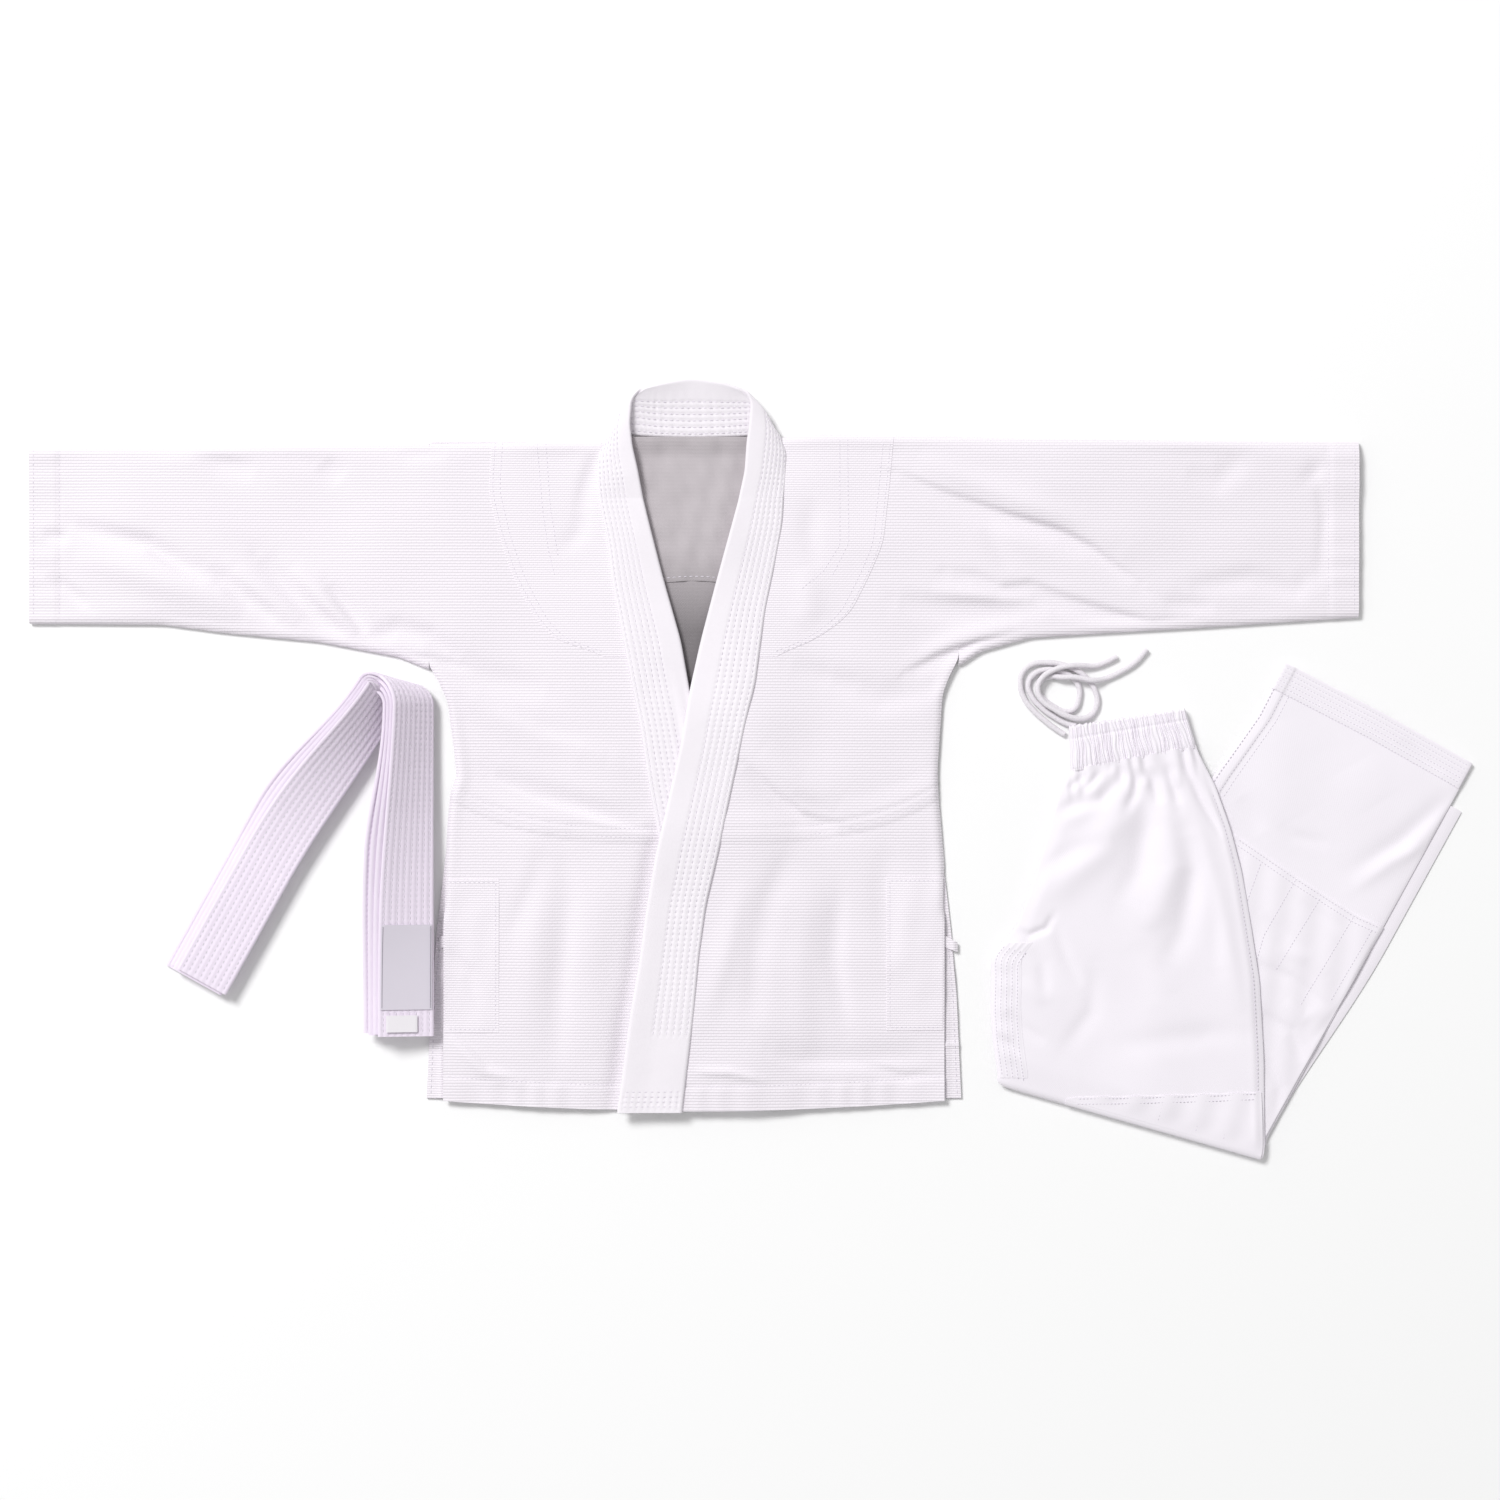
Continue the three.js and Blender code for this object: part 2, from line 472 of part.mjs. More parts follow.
const drawstring = new THREE.Group();
drawstring.add(cord("drawstring_over_end", overEnd), cord("drawstring_under_end", underEnd));
const cornerOnFloor = waistCorner.clone().rotateAround(new THREE.Vector2(), kneeTurn);
drawstring.position.set(trousers.position.x + cornerOnFloor.x, trousers.position.y + cornerOnFloor.y, 0);

// ---- The uniform, centred on its own outline ----
const group = new THREE.Group();
const pieces = new THREE.Group();
pieces.add(jacket, belt, trousers);
pieces.updateMatrixWorld(true);
const middle = new THREE.Box3().setFromObject(pieces, true).getCenter(new THREE.Vector3());
pieces.add(drawstring);
pieces.position.set(-middle.x, -middle.y, 0);
group.add(pieces);

export default group;
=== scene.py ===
"""A child's martial arts uniform laid flat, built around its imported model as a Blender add-on.

Lengths in the settings are metres. Inside the piece functions garments are drawn in millimetres,
in a garment's own frame: for the jacket x runs from its centre line and y up from its shoulder line.
"""
import json
import math

import bmesh
import bpy
import numpy as np
from bpy.props import FloatProperty, FloatVectorProperty, IntProperty, PointerProperty
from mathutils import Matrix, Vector


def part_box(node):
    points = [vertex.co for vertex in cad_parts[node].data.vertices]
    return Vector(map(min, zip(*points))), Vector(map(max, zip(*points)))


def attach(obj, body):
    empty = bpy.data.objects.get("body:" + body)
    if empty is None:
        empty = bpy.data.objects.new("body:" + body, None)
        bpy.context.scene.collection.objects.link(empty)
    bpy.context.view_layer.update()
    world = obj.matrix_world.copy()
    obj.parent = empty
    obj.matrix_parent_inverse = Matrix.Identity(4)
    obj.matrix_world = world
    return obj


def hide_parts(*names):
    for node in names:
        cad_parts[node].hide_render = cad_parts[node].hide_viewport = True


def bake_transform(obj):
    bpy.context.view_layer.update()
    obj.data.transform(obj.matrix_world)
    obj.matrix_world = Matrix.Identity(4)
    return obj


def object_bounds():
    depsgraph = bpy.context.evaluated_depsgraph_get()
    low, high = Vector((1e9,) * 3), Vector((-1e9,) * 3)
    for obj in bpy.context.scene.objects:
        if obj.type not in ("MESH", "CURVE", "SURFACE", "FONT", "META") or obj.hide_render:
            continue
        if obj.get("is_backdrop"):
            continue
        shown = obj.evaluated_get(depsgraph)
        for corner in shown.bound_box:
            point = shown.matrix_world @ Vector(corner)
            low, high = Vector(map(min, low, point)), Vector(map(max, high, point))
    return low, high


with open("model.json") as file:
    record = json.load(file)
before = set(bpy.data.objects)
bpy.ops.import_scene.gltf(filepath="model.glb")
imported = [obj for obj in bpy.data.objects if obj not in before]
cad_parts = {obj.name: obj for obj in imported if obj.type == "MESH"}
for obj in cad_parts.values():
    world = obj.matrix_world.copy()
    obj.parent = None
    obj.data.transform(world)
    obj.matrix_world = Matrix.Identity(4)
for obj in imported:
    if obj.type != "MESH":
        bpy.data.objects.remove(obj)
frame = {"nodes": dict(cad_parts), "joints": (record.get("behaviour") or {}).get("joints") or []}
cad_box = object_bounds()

bl_info = {
    "name": "Martial Arts Uniform",
    "version": (1, 0, 0),
    "blender": (4, 5, 0),
    "location": "3D View > Sidebar > Uniform",
    "description": "Cotton jacket, belt and trousers laid flat around their packed model",
    "category": "Object",
}

MM = 0.001
CRISP_ABOVE = math.radians(50)
JOINTS = {joint["name"]: joint for joint in frame["joints"]}


# ---- The garments' own frames, in millimetres ----
class Place:
    """Turns a garment's own millimetres into the row frame's metres."""

    def __init__(self, origin, turn=0.0):
        self.origin = Vector(origin)
        self.turn = turn

    def __call__(self, x, y, z):
        c, s = math.cos(self.turn), math.sin(self.turn)
        points = np.stack(np.broadcast_arrays(c * x - s * y, s * x + c * y, z), -1) * MM
        return points + np.array((self.origin.x, self.origin.y, 0.0))


def jacket_place():
    low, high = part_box("back_body")
    return Place(((low.x + high.x) / 2, high.y, 0))


def trousers_place():
    knee = JOINTS["knee_unfold"]
    return Place(knee["pos_m"], math.atan2(knee["axis"][1], knee["axis"][0]))


JACKET = jacket_place()
TROUSERS = trousers_place()
BELT = Place(JOINTS["belt_spread"]["pos_m"])


# ---- Small shape rules ----
def smooth_step(low, high, value):
    t = np.clip((value - low) / (high - low), 0, 1)
    return t * t * (3 - 2 * t)


def hill(value, middle, width):
    return np.exp(-(((value - middle) / width) ** 2))


def rounded(distance, radius):
    """0 at an edge, 1 from radius inwards, along a quarter circle."""
    t = np.clip(1 - distance / radius, 0, 1)
    return np.sqrt(1 - t * t)


def edge_rule(*knots, soft=9.0):
    """A smooth rule through (position, value) knots, eased over soft millimetres."""
    where = np.array([k[0] for k in knots], float)
    value = np.array([k[1] for k in knots], float)
    order = np.argsort(where)
    where, value = where[order], value[order]
    offsets = np.linspace(-soft, soft, 9)

    def rule(t):
        t = np.asarray(t, float)
        return np.mean([np.interp(t + o, where, value) for o in offsets], axis=0)

    return rule


def crease(x, y, route, height, width, back):
    """A ridge, or with a negative height a valley, along a route: width is its reach on the left and back its
    reach on the right."""
    route = np.array(route, float)
    steps = np.linalg.norm(np.diff(route, axis=0), axis=1)
    total = steps.sum()
    best = np.full(np.shape(x), 1e9)
    side = np.zeros(np.shape(x))
    share = np.zeros(np.shape(x))
    start = 0.0
    for (ax, ay), (bx, by), step in zip(route, route[1:], steps):
        ux, uy = (bx - ax) / step, (by - ay) / step
        t = np.clip((x - ax) * ux + (y - ay) * uy, 0, step)
        dx, dy = x - ax - t * ux, y - ay - t * uy
        away = np.hypot(dx, dy)
        near = away < best
        best = np.where(near, away, best)
        side = np.where(near, ux * dy - uy * dx, side)
        share = np.where(near, (start + t) / total, share)
        start += step
    spread = np.where(side > 0, width, back)
    return height * np.exp(-((best / spread) ** 2)) * np.sin(np.pi * np.clip(share, 0.03, 0.97)) ** 0.7


def waves(x, y, size, seed):
    """Slow unevenness between about -1 and 1."""
    random = np.random.default_rng(seed)
    total = 0
    for _ in range(6):
        turn, phase = random.uniform(0, 2 * np.pi, 2)
        pitch = size * random.uniform(0.7, 1.6)
        total = total + np.sin((x * np.cos(turn) + y * np.sin(turn)) * 2 * np.pi / pitch + phase)
    return total / 3.2


# ---- Mesh making ----
def deselect():
    if bpy.context.object and bpy.context.object.mode != "OBJECT":
        bpy.ops.object.mode_set(mode="OBJECT")
    bpy.ops.object.select_all(action="DESELECT")


def select_only(piece):
    deselect()
    piece.select_set(True)
    bpy.context.view_layer.objects.active = piece


def grid(name, across, up, shape, uv=None):
    """A grid of quads whose vertices go where shape(u, v) says; uv gives the cloth's own flat metres."""
    deselect()
    bpy.ops.mesh.primitive_grid_add(x_subdivisions=across, y_subdivisions=up, size=2)
    piece = bpy.context.object
    piece.name = piece.data.name = name
    mesh = piece.data
    flat = np.empty(len(mesh.vertices) * 3)
    mesh.vertices.foreach_get("co", flat)
    flat = flat.reshape(-1, 3)
    u, v = (flat[:, 0] + 1) / 2, (flat[:, 1] + 1) / 2
    points = shape(u, v)
    mesh.vertices.foreach_set("co", np.ascontiguousarray(points, float).ravel())
    if uv is not None:
        cloth_uv = uv(u, v)
        corners = np.empty(len(mesh.loops), int)
        mesh.loops.foreach_get("vertex_index", corners)
        mesh.uv_layers[0].data.foreach_set("uv", cloth_uv[corners].astype(np.float32).ravel())
    mesh.update()
    return piece


def apply_modifier(piece, kind, **values):
    select_only(piece)
    modifier = piece.modifiers.new(kind.title(), kind)
    for key, value in values.items():
        setattr(modifier, key, value)
    bpy.ops.object.modifier_apply(modifier=modifier.name)


def edit(piece, *steps):
    """Runs edit-mode steps on the whole mesh."""
    select_only(piece)
    bpy.ops.object.mode_set(mode="EDIT")
    bpy.ops.mesh.select_all(action="SELECT")
    for step in steps:
        step()
    bpy.ops.object.mode_set(mode="OBJECT")


def merge_doubles():
    bpy.ops.mesh.remove_doubles(threshold=2e-5)


def merge_seam():
    """Joins only what meets exactly, so that cloth squeezed in a tight turn isn't joined to itself."""
    bpy.ops.mesh.remove_doubles(threshold=1e-6)


def face_outwards():
    bpy.ops.mesh.normals_make_consistent(inside=False)


def enclosed(piece):
    """Signed volume of a closed mesh, below 0 where its faces point inwards."""
    mesh = piece.data
    mesh.calc_loop_triangles()
    points = np.empty(len(mesh.vertices) * 3)
    mesh.vertices.foreach_get("co", points)
    corners = np.empty(len(mesh.loop_triangles) * 3, int)
    mesh.loop_triangles.foreach_get("vertices", corners)
    a, b, c = points.reshape(-1, 3)[corners.reshape(-1, 3)].transpose(1, 0, 2)
    return float(np.einsum("ij,ij->", a, np.cross(b, c))) / 6


def smooth(piece):
    """Smooth shading that keeps the cut edges of a cloth crisp."""
    select_only(piece)
    bpy.ops.object.shade_smooth_by_angle(angle=CRISP_ABOVE)


def thicken(piece, thickness):
    """Gives a top surface its cloth thickness, downwards."""
    edit(piece, merge_doubles)
    apply_modifier(piece, "SOLIDIFY", thickness=thickness * MM, offset=-1.0, use_even_offset=False)
    edit(piece, face_outwards)
    smooth(piece)


def close_tube(piece):
    edit(piece, merge_doubles, face_outwards)
    smooth(piece)


def paint(piece, material):
    piece.data.materials.clear()
    piece.data.materials.append(material)
    return piece


# ---- Settings that a user would change ----
def length(name, description, default):
    return FloatProperty(name=name, description=description, default=default, subtype="DISTANCE", unit="LENGTH")


def colour(name, description, default):
    return FloatVectorProperty(name=name, description=description, default=srgb(default),
                               subtype="COLOR", size=3, min=0, max=1)


def srgb(text):
    """A hex sRGB colour as linear red, green and blue."""
    parts = [int(text[i:i + 2], 16) / 255 for i in (1, 3, 5)]
    return tuple(p / 12.92 if p <= 0.04045 else ((p + 0.055) / 1.055) ** 2.4 for p in parts)


class UniformClothSettings(bpy.types.PropertyGroup):
    pearl: length("Pearl weave", "Thickness of the jacket cloth", 0.0014)
    drill: length("Drill", "Thickness of the trouser cloth", 0.0008)
    facing: length("Facing", "Thickness of patches and facings", 0.0007)
    rib_pitch: length("Rib pitch", "Height of one rib of the pearl weave", 0.00265)
    grain: length("Grain", "Length of one grain of the pearl weave", 0.0046)
    twill_pitch: length("Twill pitch", "Distance between two twill lines of the drill", 0.0016)


class UniformSewingSettings(bpy.types.PropertyGroup):
    stitch: length("Stitch", "Length of one visible stitch", 0.0033)
    pitch: length("Stitch pitch", "From one stitch to the next", 0.005)
    thread: length("Thread", "Width of a stitch", 0.0009)
    lapel_rows: IntProperty(name="Lapel rows", description="Rows of stitches along the collar band", default=6, min=1)
    belt_rows: IntProperty(name="Belt rows", description="Rows of stitches along the belt", default=8, min=1)
    cord: length("Drawstring", "Thickness of the drawstring", 0.005)


class UniformColourSettings(bpy.types.PropertyGroup):
    jacket: colour("Jacket", "Bleached cotton of the jacket", "#F5EFF6")
    band: colour("Collar band", "Bleached cotton of the collar band", "#F6F1F7")
    # The neck lining's grey colour is painted shade: it stands for the shade inside the neck.
    lining: colour("Neck lining", "Cloth inside the neck", "#C4BDC1")
    trousers: colour("Trousers", "Bleached drill of the trousers", "#F4EFF6")
    belt: colour("Belt", "Cotton of the belt", "#F6EBFA")
    label: colour("Belt label", "Satin label on the belt", "#DCD6E1")
    thread: colour("Thread", "Cotton sewing thread", "#E4DEE8")


class UniformStageSettings(bpy.types.PropertyGroup):
    height: length("Camera height", "Camera above the floor", 3.0)
    lens: FloatProperty(name="Lens", description="Focal length in millimetres", default=80)
    key: FloatProperty(name="Key light", description="Strength of the large light, in watts", default=520)
    fill: FloatProperty(name="Fill light", description="Strength of the even light all round", default=0.50)


def settings(group):
    return getattr(bpy.context.scene, group)


# ---- Materials ----
def add_node(tree, kind, links=(), **values):
    """Adds a node: values set its sockets or its own settings by name, links joins (output, input name)."""
    made = tree.nodes.new(kind)
    for key, value in values.items():
        if hasattr(made, key):
            setattr(made, key, value)
    for key, value in values.items():
        if not hasattr(made, key):
            made.inputs[key.replace("_", " ")].default_value = value
    for source, target in links:
        tree.links.new(source, made.inputs[target])
    return made


def tinted(rgb, factor):
    return tuple(min(1, max(0, c * factor)) for c in rgb) + (1.0,)


def new_material(name, roughness, sheen=0.0):
    material = bpy.data.materials.new(name)
    material.use_nodes = True
    tree = material.node_tree
    shader = tree.nodes["Principled BSDF"]
    shader.inputs["Roughness"].default_value = roughness
    shader.inputs["IOR"].default_value = 1.5
    shader.inputs["Specular IOR Level"].default_value = 0.3
    shader.inputs["Sheen Weight"].default_value = sheen
    shader.inputs["Sheen Roughness"].default_value = 0.6
    return material, tree, shader


def cloth_coordinates(tree, pitch):
    """The piece's own flat cloth coordinates, counted in pitches of (across, along) metres."""
    source = add_node(tree, "ShaderNodeTexCoord")
    return add_node(tree, "ShaderNodeMapping", [(source.outputs["UV"], "Vector")],
                    Scale=(1 / pitch[0], 1 / pitch[1], 1))


def wear_cloth(tree, shader, tone, relief):
    """Joins a cloth's tone and its relief to the shader."""
    tree.links.new(tone.outputs["Color"], shader.inputs["Base Color"])
    tree.links.new(relief.outputs["Normal"], shader.inputs["Normal"])


def colour_ramp(tree, factor, dark, light):
    ramp = add_node(tree, "ShaderNodeValToRGB", [(factor, "Fac")])
    ramp.color_ramp.elements[0].color = dark
    ramp.color_ramp.elements[1].color = light
    return ramp


def pearl_weave(name, rgb, pitch=1.0):
    """Bleached cotton pearl weave, soft and dry: staggered grains in level ribs, with a faint shade in every dip."""
    cloth = settings("uniform_cloth")
    material, tree, shader = new_material(name, 0.86, sheen=0.25)
    at = cloth_coordinates(tree, (cloth.grain * pitch, cloth.rib_pitch * pitch))
    ribs = add_node(tree, "ShaderNodeTexWave", [(at.outputs["Vector"], "Vector")], wave_type="BANDS",
                    bands_direction="Y", Scale=0.31416, Distortion=0.9, Detail=2.0, Detail_Scale=2.2)
    grains = add_node(tree, "ShaderNodeTexBrick", [(at.outputs["Vector"], "Vector")], Scale=1.0,
                      Brick_Width=1.0, Row_Height=1.0, Mortar_Size=0.16, Mortar_Smooth=1.0)
    depth = add_node(tree, "ShaderNodeMath", [(grains.outputs["Fac"], 0), (ribs.outputs["Fac"], 2)],
                     operation="MULTIPLY_ADD")
    depth.inputs[1].default_value = -0.35
    tone = colour_ramp(tree, depth.outputs[0], tinted(rgb, 0.91), tinted(rgb, 1.0))
    relief = add_node(tree, "ShaderNodeBump", [(depth.outputs[0], "Height")], Strength=0.45, Distance=0.0007)
    wear_cloth(tree, shader, tone, relief)
    return material


def plain_weave(name, rgb, thread=0.0011, strength=0.35, roughness=0.8, sheen=0.2):
    """Tight bleached cotton in plain weave, smooth and matt: crossing threads, drawn coarse enough to show."""
    material, tree, shader = new_material(name, roughness, sheen)
    at = cloth_coordinates(tree, (thread, thread))
    threads = add_node(tree, "ShaderNodeTexBrick", [(at.outputs["Vector"], "Vector")], Scale=1.0,
                       Brick_Width=1.0, Row_Height=0.5, Mortar_Size=0.2, Mortar_Smooth=1.0)
    mottle = add_node(tree, "ShaderNodeTexNoise", [(at.outputs["Vector"], "Vector")], Scale=0.035, Detail=5.0)
    tone = colour_ramp(tree, mottle.outputs["Fac"], tinted(rgb, 0.955), tinted(rgb, 1.02))
    relief = add_node(tree, "ShaderNodeBump", [(threads.outputs["Fac"], "Height")], invert=True,
                      Strength=strength, Distance=0.0003)
    wear_cloth(tree, shader, tone, relief)
    return material


def twill_drill(name, rgb):
    """Bleached cotton drill, pressed smooth with a slight sheen: diagonal twill lines, drawn coarse enough to show."""
    cloth = settings("uniform_cloth")
    material, tree, shader = new_material(name, 0.66, sheen=0.15)
    at = cloth_coordinates(tree, (cloth.twill_pitch, cloth.twill_pitch))
    twill = add_node(tree, "ShaderNodeTexWave", [(at.outputs["Vector"], "Vector")], wave_type="BANDS",
                     bands_direction="DIAGONAL", Scale=0.45, Distortion=0.6, Detail=2.0)
    mottle = add_node(tree, "ShaderNodeTexNoise", [(at.outputs["Vector"], "Vector")], Scale=0.03, Detail=5.0)
    tone = colour_ramp(tree, mottle.outputs["Fac"], tinted(rgb, 0.96), tinted(rgb, 1.02))
    relief = add_node(tree, "ShaderNodeBump", [(twill.outputs["Fac"], "Height")],
                      Strength=0.2, Distance=0.0003)
    wear_cloth(tree, shader, tone, relief)
    return material


def braided_cord(name, rgb):
    """Soft braided cotton cord, matt: small rounded cells stand for its crossing strands."""
    material, tree, shader = new_material(name, 0.8, sheen=0.2)
    source = add_node(tree, "ShaderNodeTexCoord")
    strands = add_node(tree, "ShaderNodeTexVoronoi", [(source.outputs["Object"], "Vector")], Scale=620.0)
    # Painted shade: each cell darkens towards its rim, where the strands dip.
    tone = colour_ramp(tree, strands.outputs["Distance"], tinted(rgb, 1.0), tinted(rgb, 0.86))
    relief = add_node(tree, "ShaderNodeBump", [(strands.outputs["Distance"], "Height")], invert=True,
                      Strength=0.5, Distance=0.0006)
    wear_cloth(tree, shader, tone, relief)
    return material


def shared(name, make, *values, **more):
    """The material of that name, made the first time that a piece asks for it."""
    return bpy.data.materials.get(name) or make(name, *values, **more)


def colours():
    return settings("uniform_colours")


def jacket_cloth():
    return shared("cotton_pearl_weave", pearl_weave, tuple(colours().jacket))


def patch_cloth():
    return shared("cotton_pearl_weave_fine", pearl_weave, tinted(colours().jacket, 1.03)[:3], pitch=0.8)


def band_cloth():
    return shared("quilted_cotton_band", plain_weave, tuple(colours().band))


# Where the painted shade inside the neck is deepest (foot) and where it ends (head), in the jacket's millimetres.
SHADE_FOOT, SHADE_HEAD = -172, -96


def lining_with_painted_shade(name, rgb):
    """Plain cotton inside the neck, with painted shade that darkens it towards the foot of the neck opening."""
    material = plain_weave(name, rgb, thread=0.0024, strength=0.6)
    tree = material.node_tree
    base = tree.nodes["Principled BSDF"].inputs["Base Color"]
    cloth_tone = base.links[0].from_socket
    # Painted shade: the cloth's colour is scaled from full at the head down to 0.42 at the foot of the neck opening.
    source = add_node(tree, "ShaderNodeTexCoord")
    place = add_node(tree, "ShaderNodeSeparateXYZ", [(source.outputs["Object"], "Vector")])
    shade = add_node(tree, "ShaderNodeMapRange", [(place.outputs["Y"], "Value")],
                     From_Min=JACKET(0, SHADE_FOOT, 0)[1], From_Max=JACKET(0, SHADE_HEAD, 0)[1],
                     To_Min=0.42, To_Max=1.0)
    scaled = add_node(tree, "ShaderNodeVectorMath", [(cloth_tone, "Vector"), (shade.outputs["Result"], "Scale")],
                      operation="SCALE")
    tree.links.new(scaled.outputs["Vector"], base)
    return material


def lining_cloth():
    return shared("cotton_neck_lining", lining_with_painted_shade, tuple(colours().lining))


def trouser_cloth():
    return shared("cotton_drill", twill_drill, tuple(colours().trousers))


def belt_cloth():
    return shared("quilted_cotton_belt", plain_weave, tuple(colours().belt), thread=0.0013, strength=0.5)


def sewing_thread():
    return shared("cotton_thread", plain_weave, tuple(colours().thread), thread=0.0008, roughness=0.6)


# ---- The jacket's outline, in its own millimetres ----
ARMHOLE = 238
sleeve_top = edge_rule((-597, -6), (-445, -6), (-374, -4.5), (-244, -2.7), (-85, -1), (0, 0), (77, 2.7),
                       (116, 5.2), (275, 2.7), (437, 0), (597, -0.9))
sleeve_under = edge_rule((-597, -164.7), (-477, -165.6), (-423, -172.8), (-338, -180.9), (-266, -194.4),
                         (-ARMHOLE, -206), (ARMHOLE, -203), (257, -190), (302, -177.3), (358, -173.7),
                         (454, -168.3), (597, -159), soft=5)
SIDE = {-1: edge_rule((0, 238), (-204, 238), (-216, 230.4), (-236, 221.4), (-276, 216), (-303, 213.3),
                      (-321, 219), (-353, 222), (-446, 225), (-640, 225), soft=5),
        1: edge_rule((0, 238), (-200, 238), (-219, 228.6), (-233, 223.5), (-300, 219), (-321, 219.6),
                     (-387, 225), (-640, 225), soft=5)}
OVER_OUT = edge_rule((10, 81), (-44, 81), (-76, 79.2), (-114, 72), (-153, 63.9), (-220, 54.9), (-251, 46.8),
                     (-295, 37.8), (-341, 27.9), (-368, 22.5), (-417, 10.8), (-464, 4.5), (-513, 0),
                     (-544, -3.6), (-605, -10.8))
OVER_IN = edge_rule((28, 44.1), (2, 46.8), (-22, 46.8), (-52, 40.5), (-85, 31.5), (-131, 18.9), (-179, 6.3),
                    (-224, -3.6), (-274, -11.7), (-337, -26.1), (-368, -33.3), (-424, -43.2), (-472, -49.5),
                    (-513, -56.7), (-561, -63), (-605, -69))
UNDER_OUT = edge_rule((-29, -86.4), (-52, -85.5), (-91, -77.4), (-130, -72.9), (-205, -58.5), (-259, -47.7),
                      (-314, -39.6), (-352, -32.4), (-440, -14), (-605, 12))
UNDER_IN = edge_rule((13, -54.9), (-4, -54), (-35, -49.5), (-76, -39.6), (-122, -27.9), (-179, -11.7),
                     (-224, -3.6), (-300, 11), (-440, 40), (-605, 66))
FOLD_TOP = (80.0, -5.0)
FOLD_FOOT = (225.0, -446.0)
FOLD_HEIGHT = 6.4


def hem_line(x):
    return -593 - 9 * np.clip(1 - (np.abs(x) / 225) ** 2, 0, 1)


def seam_line(x):
    """The chest seam, which climbs towards the sides."""
    return 40 * np.minimum(1.2, np.abs(x) / 220) ** 3.5 - 360


def inset(x, y):
    """How far a point of the jacket lies inside its outline, the hem and the slit edges apart."""
    away = np.abs(x)
    below_top = sleeve_top(x) - y
    left, right = SIDE[-1](y), SIDE[1](y)
    side = np.where(x < 0, left, right) - away
    corner = np.where(x < 0, -206, -203)
    armpit = np.hypot(np.clip(ARMHOLE - away, 0, None), np.clip(y - corner, 0, None))
    flank = np.where(away >= ARMHOLE, y - sleeve_under(x), np.where(y >= corner, armpit, side))
    loose = smooth_step(-420, -470, y) * 30
    return np.minimum(below_top, flank + np.where(away < ARMHOLE, loose, 0))


# Each crease: its route, its height (below 0 a valley), and its width on the left and the right of the route.
LEFT_CREASES = [
    ([(-560, -76), (-525, -86), (-490, -94), (-462, -112), (-430, -128)], -2.6, 9, 6),
    ([(-560, -100), (-500, -118), (-440, -140), (-400, -156)], 2.4, 16, 16),
    ([(-582, -119), (-566, -132), (-543, -151)], -1.7, 6, 5),
    ([(-585, -84), (-560, -89)], -1.4, 6, 5),
    ([(-438, -112), (-408, -139), (-372, -163)], -1.9, 10, 7),
    ([(-415, -112), (-385, -140), (-352, -166)], 1.6, 9, 9),
    ([(-392, -104), (-363, -134), (-341, -157), (-309, -181)], -2.8, 11, 7),
    ([(-365, -112), (-335, -144), (-300, -176)], 1.7, 9, 8),
    ([(-330, -128), (-309, -154), (-294, -176)], -2.3, 7, 5),
    ([(-292, -178), (-265, -169), (-238, -176), (-208, -199)], -2.4, 9, 8),
    ([(-262, -194), (-232, -198), (-204, -205)], -1.9, 4, 4),
    ([(-248, -199), (-222, -216), (-180, -246), (-138, -268), (-72, -286)], 2.2, 9, 15),
    ([(-226, -196), (-184, -214), (-130, -226)], -1.8, 12, 12),
    ([(-184, -300), (-140, -320), (-96, -334), (-42, -350)], -3.2, 12, 3.0),
    ([(-200, -232), (-150, -262), (-100, -283)], -1.4, 14, 16),
    ([(-446, -4), (-424, -20), (-392, -30)], -1.3, 9, 11),
    ([(-335, -20), (-315, -36)], -1.2, 10, 10),
    ([(-268, -12), (-220, -9)], -1.4, 8, 9),
    ([(-103, -68), (-96, -40), (-86, -10)], -2.3, 7, 9),
    ([(-118, -98), (-104, -84), (-96, -60)], -1.4, 8, 8),
    ([(-119, -364), (-113, -413), (-121, -500), (-124, -566)], -1.8, 10, 12),
    ([(-150, -372), (-143, -430), (-152, -540)], 1.3, 16, 16),
    ([(-80, -380), (-92, -470), (-88, -560)], 1.2, 18, 18),
    ([(-165, -450), (-146, -402), (-134, -366)], -1.2, 9, 11),
    ([(-222, -531), (-188, -566), (-156, -575)], 2.2, 4, 7),
    ([(-222, -456), (-202, -478), (-196, -500)], -1.0, 6, 6),
]
